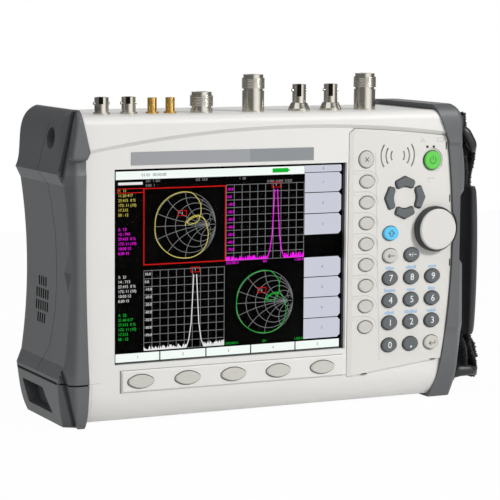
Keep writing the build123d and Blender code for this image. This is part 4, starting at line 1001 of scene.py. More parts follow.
# Charts as middle, radius and ink of the trace; grids as corners, ink and place of the peak
CHARTS = ((-33.5, 26.4, 22.6, "yellow"), (27.1, -29.5, 21.9, "green"))
GRIDS = (((-3.0, 0.7, 57.0, 52.9), "magenta", 35.1), ((-64.2, -57.7, -4.1, -3.2), "trace_white", -26.2))
GRID_LINES = 10
LINE_WIDE = 0.38
TRACE_WIDE = 0.44
PLOT_SEED = 5
# Numbered markers: shift from a chart's middle or a peak's top, and half their width
CHART_MARKER = (-2.5, 8.5, 3.1)
PEAK_MARKER = (0.0, -0.9, 3.2)
MARKER_HALF_TALL = 1.7
MARKER_WIDE = 0.45
# Sizes of the numbers
MARKER_TEXT = 2.2
MENU_TEXT = 2.6
BLOCK_TEXT = 2.7
AXIS_TEXT = 2.6
FOOT_TEXT = 2.4
NOTE_TEXT = 2.5
CLOCK_TEXT = 2.9
TEXT_LEFT = -83.0
TEXT_PITCH = 3.25
TEXT_BLOCKS = (("yellow", 51.3), ("magenta", 25.4), ("trace_white", -6.8), ("green", -32.7))
TEXT_LINES = (("1:  11", "2:  12", "3:  21", "4:  22"), ("11.20 417", "12 : 745", "14 : 713", "21.40 617"),
              ("27.415  0 %",) * 4, ("172: 11 (10)",) * 4, ("17.215", "10.00 12", "10.00 12", "17.215"),
              ("50 : 12", "0.00 15", "0.00 15", "50 : 12"))
# Numbers up the left of each grid as ink and place of the first
AXES = (("magenta", -2.2, 49.8), ("trace_white", -63.6, -5.6))
AXIS_ROWS = 9
AXIS_STEP = 10
AXIS_PITCH = 5.2
# Numbers under the right-hand plots as ink, left, right and height
PLOT_FEET = (("magenta", -3.0, 57.0, -1.0), ("green", -3.0, 57.0, -56.8))
CLOCK = ("01/01  00:00:00", -66.0, 61.5)
LABEL_BAR = (-82.9, 55.2, -65.2, 57.0)
NOTES = (("201  1 201", -63.0, 57.4), ("0.00  1", -63.0, 54.4), ("0.0  10.0", -26.0, 57.2),
         ("1  00", 6.6, 57.0), ("0.000  0.000  0.000", 28.0, 54.4))
# Lines of a chart: turns along a circle, values of the lines and resistances along a line of reactance
CHART_TURNS = range(-170, 171, 10)
CHART_RESISTANCES = (0.0, 0.2, 0.5, 1.0, 2.0, 5.0)
CHART_REACTANCES = (0.2, 0.5, 1.0, 2.0, 5.0)
CHART_RUN = (0, 0.15, 0.35, 0.6, 1, 1.6, 2.6, 4.5, 9)
# Trace of a chart as shares of its radius, from the middle out and round the rim
CHART_TRACE_SHARES = (
    (-0.02, 0.0), (0.04, 0.12), (0.23, 0.26), (0.46, 0.28), (0.40, 0.10), (0.16, 0.03), (0.06, 0.08),
    (0.20, 0.20), (0.48, 0.26), (0.68, 0.05), (0.75, -0.35), (0.62, -0.72), (0.33, -0.93), (0.0, -0.985),
    (-0.40, -0.91), (-0.74, -0.68), (-0.96, -0.36), (-1.0, 0.0), (-0.95, 0.38), (-0.78, 0.68),
    (-0.50, 0.90), (-0.20, 1.0), (0.02, 1.01), (0.24, 0.95), (0.45, 0.72), (0.51, 0.50), (0.49, 0.29),
)
# Half of a pass-band peak as (share of half width, share of height)
PEAK_SHARES = ((1.0, 0.0), (0.72, 0.10), (0.45, 0.32), (0.30, 0.66), (0.17, 0.98))
PEAK_HALF = 6.4
PEAK_FOOT = 0.6
PEAK_TALL_SHARE = 0.93
PEAK_WIDE = 0.6
# Ragged floor of a trace: least height, greatest heights left and right of the peak, and step
NOISE_LOW = 0.4
NOISE_HIGH = (3.2, 4.2)
NOISE_STEP = 0.55


def reflection(r, x):
    """Reflection of an impedance on a chart of unit radius."""
    z = complex(r, x)
    gamma = (z - 1) / (z + 1)
    return gamma.real, gamma.imag


def chart_lines():
    """Lines of equal resistance and of equal reactance on a chart of unit radius."""
    lines = []
    turns = [math.radians(a) for a in CHART_TURNS]
    for r in CHART_RESISTANCES:
        lines.append([reflection(r, (1 + r) * math.tan(a / 2)) for a in turns])
    for x in CHART_REACTANCES:
        for side in (-1, 1):
            lines.append([reflection(r, side * x) for r in CHART_RUN])
    lines.append([(-1, 0), (1, 0)])
    return lines


def smooth_run(points, steps=6):
    """Points along a smooth curve through given points."""
    run = []
    for i in range(len(points) - 1):
        p0, p1 = Vector(points[max(i - 1, 0)]), Vector(points[i])
        p2, p3 = Vector(points[i + 1]), Vector(points[min(i + 2, len(points) - 1)])
        for k in range(steps):
            t = k / steps
            run.append(0.5 * (2 * p1 + (p2 - p0) * t + (2 * p0 - 5 * p1 + 4 * p2 - p3) * t * t
                              + (3 * p1 - p0 - 3 * p2 + p3) * t ** 3))
    run.append(Vector(points[-1]))
    return run


def noise_floor(form, left, right, low, peak, place, draw):
    """Add the ragged floor of a trace between two places."""
    outline = [(right, low), (left, low)]
    u = left
    while u < right:
        outline.append((u, low + draw.uniform(NOISE_LOW, peak)))
        u += NOISE_STEP
    outline.append((right, low + draw.uniform(NOISE_LOW, peak)))
    plate(form, outline[::-1], place, *INK)


class ANALYZER_OT_screen(bpy.types.Operator):
    """Draw the lit picture behind the window"""
    bl_idname = "analyzer.screen"
    bl_label = "Screen"

    def execute(self, context):
        middle = window_middle()
        middle.x += PICTURE_SHIFT[0] * MM
        middle.z += PICTURE_SHIFT[1] * MM
        middle.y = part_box("display_module")[0].y
        face = facing(middle)
        inks = {name: bmesh.new() for name in SCREEN_COLOURS}
        self.draw_menus(inks, face)
        self.draw_charts(inks, face)
        self.draw_grids(inks, face)
        self.draw_numbers(inks, face)
        for name, form in inks.items():
            glow = lit("Lit display " + name, SCREEN_COLOURS[name])
            formed("screen_" + name, form, glow, "case")
        paint(["display_module"], unlit("Unlit display glass", linear("030303")))
        paint(["display_window"], acrylic("Clear acrylic window"))
        return {"FINISHED"}

    def draw_menus(self, inks, face):
        """Title bar, menu tabs and the row of boxes at the foot."""
        plate(inks["white"], oblong(*TITLE_BAR), face, *SHEET)
        for bar in CHARGE_BARS:
            plate(inks["green"], oblong(*bar), face, *INK)
        for i, (low, high) in enumerate(MENU_TABS):
            c = MENU_CORNER if i else MENU_TITLE_CORNER
            tab = [(MENU_LEFT, low), (MENU_RIGHT - c, low), (MENU_RIGHT, low + c), (MENU_RIGHT, high - c),
                   (MENU_RIGHT - c, high), (MENU_LEFT, high)]
            plate(inks["pale"], tab, face, *SHEET)
            middle = (MENU_LEFT + MENU_RIGHT) / 2
            letter(inks["text_dark"], str(i), MENU_TEXT, face, middle, (low + high) / 2, *INK)
        for i, (left, right) in enumerate(zip(FOOT_BOXES, FOOT_BOXES[1:])):
            plate(inks["white"], oblong(left + FOOT_GAP, FOOT_LOW, right - FOOT_GAP, FOOT_HIGH), face, *SHEET)
            middle = (FOOT_LOW + FOOT_HIGH) / 2
            letter(inks["text_dark"], str(i + 1), MENU_TEXT, face, (left + right) / 2, middle, *INK)

    def marker(self, inks, face, u, v, half):
        """A numbered marker in a red box."""
        box = oblong(u - half, v - MARKER_HALF_TALL, u + half, v + MARKER_HALF_TALL)
        ribbon(inks["red"], box, MARKER_WIDE, face, *MARK, closed=True)
        letter(inks["trace_white"], "1", MARKER_TEXT, face, u, v, *MARK)

    def draw_charts(self, inks, face):
        """Red frames and two round charts with their traces."""
        for corners, width in RED_FRAMES:
            ribbon(inks["red"], oblong(*corners), width, face, *INK, closed=True)
        for u, v, radius, ink in CHARTS:
            for line in chart_lines():
                points = [(u + radius * a, v + radius * b) for a, b in line]
                ribbon(inks["grey"], points, LINE_WIDE, face, *CHART_LINE)
            run = smooth_run([(u + radius * a, v + radius * b) for a, b in CHART_TRACE_SHARES])
            ribbon(inks[ink], run, TRACE_WIDE, face, *INK)
            shift_u, shift_v, half = CHART_MARKER
            self.marker(inks, face, u + shift_u, v + shift_v, half)

    def draw_grids(self, inks, face):
        """Two grids, each with a peak between two ragged floors."""
        draw = random.Random(PLOT_SEED)
        for (u0, v0, u1, v1), ink, peak_u in GRIDS:
            for i in range(GRID_LINES + 1):
                u = u0 + (u1 - u0) * i / GRID_LINES
                v = v0 + (v1 - v0) * i / GRID_LINES
                ribbon(inks["grey"], [(u, v0), (u, v1)], LINE_WIDE, face, *GRID_UPRIGHT)
                ribbon(inks["grey"], [(u0, v), (u1, v)], LINE_WIDE, face, *GRID_LEVEL)
            sides = ((u0, peak_u - PEAK_HALF), (peak_u + PEAK_HALF, u1))
            for (left, right), high in zip(sides, NOISE_HIGH):
                noise_floor(inks[ink], left, right, v0, high, face, draw)
            top = (v1 - v0) * PEAK_TALL_SHARE
            for side in (-1, 1):
                run = [(peak_u + side * PEAK_HALF * a, v0 + PEAK_FOOT + top * b) for a, b in PEAK_SHARES]
                ribbon(inks[ink], run, PEAK_WIDE, face, *INK)
            shift_u, shift_v, half = PEAK_MARKER
            self.marker(inks, face, peak_u + shift_u, v1 + shift_v, half)

    def draw_numbers(self, inks, face):
        """Columns of plain numbers beside and under the plots."""
        for block, (ink, top) in enumerate(TEXT_BLOCKS):
            for i, texts in enumerate(TEXT_LINES):
                v = top - i * TEXT_PITCH
                letter(inks[ink], texts[block], BLOCK_TEXT, face, TEXT_LEFT, v, *INK, "LEFT")
        for ink, u, top in AXES:
            for i in range(AXIS_ROWS):
                v = top - i * AXIS_PITCH
                letter(inks[ink], f"{AXIS_STEP * (1 - i)}.0", AXIS_TEXT, face, u, v, *INK, "LEFT")
        for ink, left, right, v in PLOT_FEET:
            for text, u, align in (("500.000 0", left, "LEFT"), ("201", (left + right) / 2, "CENTER"),
                                   ("1.000 0", right, "RIGHT")):
                letter(inks[ink], text, FOOT_TEXT, face, u, v, *INK, align)
        plate(inks["trace_white"], oblong(*LABEL_BAR), face, *INK)
        text, u, v = CLOCK
        letter(inks["text_dark"], text, CLOCK_TEXT, face, u, v, *INK, "LEFT")
        for text, u, v in NOTES:
            letter(inks["text_grey"], text, NOTE_TEXT, face, u, v, *INK, "LEFT")


# Thread ridges and the slots of the BNC barrels, which are dark strips of painted shade, in millimetres; part
# of a ridge is sunk into its barrel
N_RIDGE = 0.36
SMA_RIDGE = 0.22
RIDGE_SUNK_SHARE = 0.35
BNC_RADIUS = 4.85
BNC_STEP = 3.0
SLOT_LONG = 8.4
SLOT_SHORT = 4.6
SLOT_PROUD = 0.04
SLOT_DEEP = 0.3
SLOT_TURNS = range(-98, -135, -4)


def thread_tree():
    """Geometry tree: one helical thread ridge on each point."""
    tree, given = node_tree("Thread ridge", (
        ("Radius", "NodeSocketFloat"), ("Height", "NodeSocketFloat"), ("Turns", "NodeSocketFloat"),
        ("Ridge", "NodeSocketFloat"), ("Material", "NodeSocketMaterial")))
    spiral = add(tree, "GeometryNodeCurveSpiral", {"Resolution": 40}, {
        "Rotations": given["Turns"], "Start Radius": given["Radius"], "End Radius": given["Radius"],
        "Height": given["Height"]})
    section = add(tree, "GeometryNodeCurvePrimitiveCircle", {"Resolution": 5}, {"Radius": given["Ridge"]})
    ridge = add(tree, "GeometryNodeCurveToMesh", {"Fill Caps": True},
                {"Curve": spiral.outputs[0], "Profile Curve": section.outputs[0]})
    placed = add(tree, "GeometryNodeInstanceOnPoints", None,
                 {"Points": given["Geometry"], "Instance": ridge.outputs[0]})
    close_tree(tree, placed.outputs[0], given["Material"])
    return tree


class ANALYZER_OT_jacks(bpy.types.Operator):
    """Finish the radio connectors and cut their threads"""
    bl_idname = "analyzer.jacks"
    bl_label = "Jacks"

    def execute(self, context):
        sizes = context.scene.analyzer_sizes
        nickel = plated("Nickel-plated brass", linear("C4C0B6"), roughness=0.16)
        gold = plated("Gold-plated brass", linear("CCA85E"), roughness=0.18)
        paint(["n_jacks", "bnc_jacks"], nickel)
        paint(["sma_jacks"], gold)
        tree = thread_tree()
        for prefix, pitch, ridge, metal, slot in (("rf_port", sizes.n_pitch, N_RIDGE, nickel, "nickel"),
                                                  ("sma_port", sizes.sma_pitch, SMA_RIDGE, gold, "gold")):
            mounts = [mount for name, mount in MOUNTS.items() if name.startswith(prefix)]
            length = mounts[0]["dims"]["length_mm"] * MM - 2 * ridge * MM
            radius = mounts[0]["dims"]["r_mm"] * MM
            points = [Vector(mount["pos_m"]) - Vector((0, 0, length / 2)) for mount in mounts]
            mesh = grown(tree, points, {
                "Radius": radius - ridge * MM * RIDGE_SUNK_SHARE, "Height": length,
                "Turns": length / pitch, "Ridge": ridge * MM, "Material": metal})
            mesh.shade_smooth()
            piece(prefix + "_threads", mesh, metal, "case")
        # Near-black painted shade for the slots down the BNC barrels
        dark = moulded("Shadowed slot", linear("17150F"), *SLOT_FINISH, gloss=SHADOW_GLOSS)
        form = bmesh.new()
        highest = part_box("bnc_jacks")[1].z
        for name, mount in MOUNTS.items():
            if name.startswith("bnc_port"):
                x, y = mount["pos_m"][:2]
                top = max(vertex.co.z for vertex in NODES["bnc_jacks"].data.vertices
                          if abs(vertex.co.x - x) < BNC_RADIUS * MM)
                tall = top > highest - BNC_STEP * MM
                self.slot(form, Vector((x, y, top)), SLOT_LONG if tall else SLOT_SHORT)
        formed("bnc_slots", form, dark, "case")
        return {"FINISHED"}

    def slot(self, form, top, long):
        """Add the dark slot of painted shade that runs down the front of one BNC barrel."""
        outer, inner = BNC_RADIUS + SLOT_PROUD, BNC_RADIUS - SLOT_DEEP
        corners = ((outer, SLOT_PROUD), (inner, SLOT_PROUD), (inner, -long), (outer, -long))
        rows = []
        for turn in SLOT_TURNS:
            a = math.radians(turn)
            rows.append([form.verts.new(top + Vector((r * math.cos(a), r * math.sin(a), z)) * MM)
                         for r, z in corners])
        loft(form, rows)


# Padded grip: mesh rows and sides, how it narrows and thins to its ends, and how round its section is
GRIP_ROWS = 41
GRIP_SIDES = 40
GRIP_NARROWS = 0.10
GRIP_THINS = 0.12
GRIP_END_POWER = 14
GRIP_END_THICK = 0.80
GRIP_END_WIDE = 0.93
GRIP_EDGE_POWER = 0.45
GRIP_CROWN_POWER = 0.62
GRIP_BACK_SHARE = 0.92
GRIP_SMOOTH_ANGLE = 40
# Welt along the grip's edges: width in millimetres and the part of the section that it takes
WELT = 0.5
WELT_REACH = 0.12
# Stitches: spots in a row, share of the grip's length and width, and sizes in millimetres
STITCH_SPOTS = 31
STITCH_REACH = 0.93
STITCH_SIDE_SHARE = 0.80
STITCH_LONG_SHARE = 0.7
STITCH_RADIUS = 0.3
STITCH_PROUD = 0.1


def grip_mesh(low, high):
    """Padded grip: crowned outward, drawn in at its sides and rounded over at both ends."""
    form = bmesh.new()
    middle, half = (low + high) / 2, (high - low) / 2
    rows = []
    for k in range(GRIP_ROWS):
        s = -1 + 2 * k / (GRIP_ROWS - 1)
        end = max(0.0, 1 - abs(s) ** GRIP_END_POWER) ** 0.5
        half_w = half.y * (1 - GRIP_NARROWS * s * s) * (GRIP_END_WIDE + (1 - GRIP_END_WIDE) * end)
        half_t = half.x * (1 - GRIP_THINS * s * s) * (GRIP_END_THICK + (1 - GRIP_END_THICK) * end)
        row = []
        for i in range(GRIP_SIDES):
            a = 2 * math.pi * i / GRIP_SIDES
            c, d = math.cos(a), math.sin(a)
            across = math.copysign(abs(d) ** GRIP_EDGE_POWER, d)
            thick = math.copysign(abs(c) ** GRIP_CROWN_POWER, c)
            if c < 0:
                thick *= GRIP_BACK_SHARE
            edge = half_w if abs(c) < WELT_REACH else half_w - WELT * MM
            row.append(form.verts.new((middle.x + half_t * thick, middle.y + edge * across,
                                       middle.z + half.z * s)))
        rows.append(row)
    loft(form, rows)
    return to_mesh(form, "strap_grip_pad", GRIP_SMOOTH_ANGLE)


# Rings of the strap, in millimetres
EYE_RADIUS = 4.5
RING_RADIUS = 2.2
RING_HALF_WIDE = 17.2
RING_CORNER = 6.0
RING_CORNER_STEPS = 8
RING_SIDES = 14
RING_SMOOTH_ANGLE = 60
RAIL_THICK = 3.5
BAR_RADIUS = 2.5
UPPER_BOW = 1.7
LOWER_BOW = 3.2
BOW_DEEPENS = 0.5
# Powers of the share along a rail: below one, the bow and the swelling come early
BOW_POWER = 0.7
SWELL_POWER = 0.5
UPPER_PIVOT_OUT = 3.0
UPPER_BAR_SHIFT = (1.8, -0.6)
LOWER_BAR_SHIFT = (0.4, -2.2)

# Webbing, in millimetres
PLY_THICK = 1.7
PLY_STEPS = 14
TURN_STEPS = 12
WRAP_CLEAR = 0.3
BAND_EDGE = 0.4
THREAD_WIDE = 1.4
BAND_WAVE = 0.55
CRUMPLE_WAVE = 7.0
CRUMPLE_SHIFT = 1.3
# Folds as the gap between the plies at the grip, crumple and sway; tails as places and sway
UPPER_FOLD = (2.1, 0.3, 0.15)
LOWER_FOLD = (5.6, 1.0, 0.6)
FOLD_WIDE = 24.0
FOLD_IN_GRIP = 2.0
UPPER_TAIL = ((6.9, 10.0), (7.4, 2.0), (9.2, -8.0))
UPPER_TAIL_END = (3.4, 1.8)
UPPER_TAIL_SWAY = 0.2
LOWER_TAIL = ((-2.2, 3.0), (2.0, -6.0), (5.2, -13.0), (7.2, -19.0))
LOWER_TAIL_SWAY = 0.9
TAIL_WIDE = 22.0
# Pile: hairs to the square metre, thicker than real ones so that they show, their radii, lean and sizes
PILE_DENSITY = 900000.0
PILE_SEED = 3
HAIR_TIP = 0.15
HAIR_ROOT = 0.42
HAIR_LEAN = (0.9, 0.9, 3.0)
HAIR_SCALES = (0.4, 1.1)


def pile_tree():
    """Geometry tree: a band with short leaning loops of pile all over it."""
    tree, given = node_tree("Webbing pile", (
        ("Length", "NodeSocketFloat"), ("Density", "NodeSocketFloat"), ("Seed", "NodeSocketInt"),
        ("Material", "NodeSocketMaterial")))
    spread = add(tree, "GeometryNodeDistributePointsOnFaces", None, {
        "Mesh": given["Geometry"], "Density": given["Density"], "Seed": given["Seed"]})
    hair = add(tree, "GeometryNodeMeshCone", {
        "Vertices": 4, "Radius Top": HAIR_TIP * MM, "Radius Bottom": HAIR_ROOT * MM}, {
        "Depth": given["Length"]})
    lean = add(tree, "FunctionNodeRandomValue", {0: tuple(-most for most in HAIR_LEAN), 1: HAIR_LEAN},
               {"Seed": given["Seed"]}, data_type="FLOAT_VECTOR")
    tilt = add(tree, "FunctionNodeEulerToRotation", None, {0: lean.outputs[0]})
    turned = add(tree, "FunctionNodeRotateRotation", None, {
        "Rotation": spread.outputs["Rotation"], "Rotate By": tilt.outputs[0]}, rotation_space="LOCAL")
    grow = add(tree, "FunctionNodeRandomValue", {2: HAIR_SCALES[0], 3: HAIR_SCALES[1]},
               {"Seed": given["Seed"]})
    pile = add(tree, "GeometryNodeInstanceOnPoints", None, {
        "Points": spread.outputs["Points"], "Instance": hair.outputs[0], "Rotation": turned.outputs[0],
        "Scale": grow.outputs[1]})
    both = add(tree, "GeometryNodeJoinGeometry")
    tree.links.new(given["Geometry"], both.inputs[0])
    tree.links.new(pile.outputs[0], both.inputs[0])
    close_tree(tree, both.outputs[0], given["Material"])
    return tree


def stitch_tree():
    """Geometry tree: threads laid end to end along each edge."""
    tree, given = node_tree("Stitch row", (
        ("Pitch", "NodeSocketFloat"), ("Length", "NodeSocketFloat"), ("Radius", "NodeSocketFloat"),
        ("Material", "NodeSocketMaterial")))
    rows = add(tree, "GeometryNodeMeshToCurve", None, {"Mesh": given["Geometry"]})
    spots = add(tree, "GeometryNodeCurveToPoints", None, {
        "Curve": rows.outputs[0], "Length": given["Pitch"]}, mode="LENGTH")
    thread = add(tree, "GeometryNodeMeshCylinder", {"Vertices": 6}, {
        "Radius": given["Radius"], "Depth": given["Length"]})
    placed = add(tree, "GeometryNodeInstanceOnPoints", None, {
        "Points": spots.outputs[0], "Instance": thread.outputs[0], "Rotation": spots.outputs["Rotation"]})
    close_tree(tree, placed.outputs[0], given["Material"])
    return tree


def webbing_line(bar, end, spread, sway):
    """Middle line (X, Z) of a webbing from the grip, round a ring's bar and back, in millimetres."""
    run = bar - end
    along = run.normalized()
    across = Vector((-along.y, along.x))
    wrap = BAR_RADIUS + WRAP_CLEAR + PLY_THICK / 2
    plies = []
    for side in (1, -1):
        ply = []
        for k in range(PLY_STEPS):
            t = k / PLY_STEPS
            swell = t * t * (3 - 2 * t)
            reach = side * (spread / 2 + (wrap - spread / 2) * swell)
            crumple = sway * math.sin(CRUMPLE_WAVE * t + CRUMPLE_SHIFT * side) * math.sin(math.pi * t)
            ply.append(end + run * t + across * (reach + crumple))
        plies.append(ply)
    turn = []
    for k in range(TURN_STEPS + 1):
        a = math.pi * k / TURN_STEPS
        turn.append(bar + across * (wrap * math.cos(a)) + along * (wrap * math.sin(a)))
    return plies[0] + turn + plies[1][::-1]


def buckle(form, pivot, bar, shift, bow, middle_y):
    """Add a moulded ring: a round rod through the lug, thick bowed rails and a round outer bar."""
    run = bar - pivot
    along = run.normalized()
    half_l = run.length / 2
    middle = (pivot + bar) / 2
    straight_l, straight_w = half_l - RING_CORNER, RING_HALF_WIDE - RING_CORNER
    loop = []
    for corner, (sign_l, sign_w) in enumerate(((1, 1), (-1, 1), (-1, -1), (1, -1))):
        for k in range(RING_CORNER_STEPS + 1):
            a = math.pi / 2 * (corner + k / RING_CORNER_STEPS)
            loop.append((sign_l * straight_l + RING_CORNER * math.cos(a),
                         sign_w * straight_w + RING_CORNER * math.sin(a), math.cos(a), math.sin(a)))
    up = Vector((-along.y, 0, along.x))
    out = Vector((along.x, 0, along.y))
    rows = []
    for u, v, out_u, out_v in loop:
        along_share = min(1.0, max(0.0, (u + half_l) / (2 * half_l)))
        share = along_share ** 2
        rise = math.sin(math.pi * along_share ** BOW_POWER)
        centre = Vector((middle.x + shift[0] * share, middle_y + v, middle.y + shift[1] * share))
        centre += out * u + up * (bow * rise)
        rail = RING_RADIUS + (RAIL_THICK - RING_RADIUS) * along_share ** SWELL_POWER
        at_bar = max(0.0, out_u) ** 2 * share
        wide = rail + (BAR_RADIUS - rail) * at_bar
        deep = wide + bow * rise * BOW_DEEPENS
        away = out * out_u + Vector((0, 1, 0)) * out_v
        row = []
        for i in range(RING_SIDES):
            a = 2 * math.pi * i / RING_SIDES
            spot = centre + away * (wide * math.cos(a)) + up * (deep * math.sin(a))
            row.append(form.verts.new(spot * MM))
        rows.append(row)
    loft(form, rows, closed=True)


def band(line, middle_y, wide, sway):
    """Points and faces of a flat band of even thickness along a line."""
    w, t = wide / 2, PLY_THICK / 2
    in_w, in_t = w - BAND_EDGE, t - BAND_EDGE
    section = [(-w, in_t), (-in_w, t), (in_w, t), (w, in_t), (w, -in_t), (in_w, -t), (-in_w, -t), (-w, -in_t)]
    points = []
    for i, here in enumerate(line):
        ahead = line[min(i + 1, len(line) - 1)] - line[max(i - 1, 0)]
        ahead.normalize()
        side = Vector((-ahead.y, ahead.x))
        drift = sway * math.sin(BAND_WAVE * i)
        for across, out in section:
            spot = here + side * out
            points.append((spot.x * MM, (middle_y + across + drift) * MM, spot.y * MM))
    count = len(section)
    faces = []
    for i in range(len(line) - 1):
        for k in range(count):
            a, b = i * count + k, i * count + (k + 1) % count
            faces.append((a, a + count, b + count, b))
    faces.append(tuple(range(count)))
    faces.append(tuple(range(len(points) - count, len(points)))[::-1])
    return points, faces


class ANALYZER_OT_strap(bpy.types.Operator):
    """Make the padded grip and the woven ends of the hand strap"""
    bl_idname = "analyzer.strap"
    bl_label = "Hand strap"

    def execute(self, context):
        sizes = context.scene.analyzer_sizes
        hard = moulded("Black moulded nylon", linear("1C1C1E"), *NYLON_FINISH)
        paint(["strap_anchors"], hard)
        low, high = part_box("strap_grip")
        grip = piece("strap_grip_pad", grip_mesh(low, high), vinyl("Black vinyl", linear("36373A")),
                     "case")
        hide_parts("strap_grip")
        self.stitches(low, high, sizes)
        self.webbing(low, high, sizes, hard)
        return {"FINISHED"}

    def stitches(self, low, high, sizes):
        """A row of stitches along both edges of the grip's outer face."""
        thread = printed("Black polyester thread", linear("2B2B2D"))
        points = []
        edges = []
        tree = skin(bpy.data.objects["strap_grip_pad"].data)
        middle, half = (low + high) / 2, (high - low) / 2
        for side in (-1, 1):
            first = len(points)
            for k in range(STITCH_SPOTS):
                s = -STITCH_REACH + 2 * STITCH_REACH * k / (STITCH_SPOTS - 1)
                y = middle.y + side * half.y * (1 - GRIP_NARROWS * s * s) * STITCH_SIDE_SHARE
                start = Vector((high.x + RAY_CLEAR * MM, y, middle.z + half.z * s))
                hit = tree.ray_cast(start, Vector((-1, 0, 0)))
                points.append(hit[0] + hit[1] * (STITCH_PROUD * MM))
            edges += [(i, i + 1) for i in range(first, len(points) - 1)]
        mesh = grown(stitch_tree(), points, {
            "Pitch": sizes.stitch_pitch, "Length": sizes.stitch_pitch * STITCH_LONG_SHARE,
            "Radius": STITCH_RADIUS * MM, "Material": thread}, edges)
        piece("grip_stitches", mesh, thread, "case")

    def webbing(self, low, high, sizes, hard):
        """The two rings, a doubled band of hook-and-loop webbing round each bar, and the loose ends."""
        web_low, web_high = (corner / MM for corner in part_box("strap_webbing"))
        ring_low, ring_high = (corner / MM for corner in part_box("strap_rings"))
        low, high = low / MM, high / MM
        middle_x = (low.x + high.x) / 2
        middle_y = (low.y + high.y) / 2
        low_pivot = Vector((ring_low.x + RING_RADIUS, ring_low.z + RING_RADIUS))
        top_pivot = Vector((low_pivot.x + UPPER_PIVOT_OUT, ring_high.z - RING_RADIUS))
        top_bar = Vector((middle_x, web_high.z - EYE_RADIUS))
        low_bar = Vector((web_high.x - EYE_RADIUS, web_low.z + EYE_RADIUS))
        form = bmesh.new()
        buckle(form, top_pivot, top_bar, UPPER_BAR_SHIFT, UPPER_BOW, middle_y)
        buckle(form, low_pivot, low_bar, LOWER_BAR_SHIFT, LOWER_BOW, middle_y)
        rings = formed("strap_buckles", form, hard, "case", RING_SMOOTH_ANGLE)
        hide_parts("strap_rings")
        top_bar += Vector(UPPER_BAR_SHIFT)
        low_bar += Vector(LOWER_BAR_SHIFT)
        lines = []
        for bar, end, (apart, crumple, sway) in ((top_bar, high.z - FOLD_IN_GRIP, UPPER_FOLD),
                                                 (low_bar, low.z + FOLD_IN_GRIP, LOWER_FOLD)):
            lines.append((webbing_line(bar, Vector((middle_x, end)), apart, crumple), FOLD_WIDE, sway))
        upper_tail = [(top_pivot.x + u, top_pivot.y + v) for u, v in UPPER_TAIL]
        upper_tail.append((top_bar.x + UPPER_TAIL_END[0], top_bar.y + UPPER_TAIL_END[1]))
        lower_tail = [(high.x + u, low.z + v) for u, v in LOWER_TAIL]
        lines.append((smooth_run(upper_tail), TAIL_WIDE, UPPER_TAIL_SWAY))
        lines.append((smooth_run(lower_tail), TAIL_WIDE, LOWER_TAIL_SWAY))
        nylon = woven("Black woven nylon", linear("0D0D0F"), THREAD_WIDE)
        points = []
        faces = []
        for line, wide, sway in lines:
            more, sides = band(line, middle_y, wide, sway)
            first = len(points)
            points += more
            faces += [tuple(first + i for i in side) for side in sides]
        mesh = grown(pile_tree(), points, {
            "Length": sizes.pile_length, "Density": PILE_DENSITY, "Seed": PILE_SEED, "Material": nylon},
            (), faces)
        made = piece("strap_bands", mesh, nylon, "case")
        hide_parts("strap_webbing")


class ANALYZER_OT_inside(bpy.types.Operator):
    """Finish the pieces behind the shells"""
    bl_idname = "analyzer.inside"
    bl_label = "Inside"

    def execute(self, context):
        paint(["keypad_board", "main_board"], circuit("Solder-masked board", linear("1F5A34")))
        paint(["rf_module"], plated("Milled aluminium", linear("C6C8CA"), roughness=0.35))
        paint(["rotary_encoder", "cooling_fan", "fan_rotor", "battery_pack", "loudspeaker"],
              moulded("Black moulded polyester", linear("18181A"), *INSIDE_FINISH))
        return {"FINISHED"}


# Lamps as name, size in metres, setting of the power and place
STUDIO_LAMPS = (("front_lamp", 0.45, "key_power", (0.95, -1.52, 1.2)),
                ("left_lamp", 1.2, "fill_power", (-1.9, -0.5, 0.9)),
                ("top_lamp", 1.8, "top_power", (-0.9, -0.5, 2.0)))
STUDIO_TARGET = (0, 0, 0.1)
# Backdrop and softbox that metals show: direction, cosines where each starts and is full, and its
# strength outside and inside
ROOM_LIGHTS = (((0.437, 0.892, 0.1), 0.8, 0.95, 0.19, 1.0), ((0.25, -0.96, 0.1), 0.70, 0.97, 0.0, 1.3))
WORLD_LIGHT = 0.25
FLOOR_HALF = 1.1
FLOOR_GLOW = 0.97
SENSOR_WIDE = 36.0
CLIP = (0.05, 50.0)
WHITE = (1.0, 1.0, 1.0, 1.0)


def aim(made, place, target):
    """Point a lamp at a target."""
    made.location = place
    made.rotation_euler = (Vector(target) - Vector(place)).to_track_quat("-Z", "Y").to_euler()


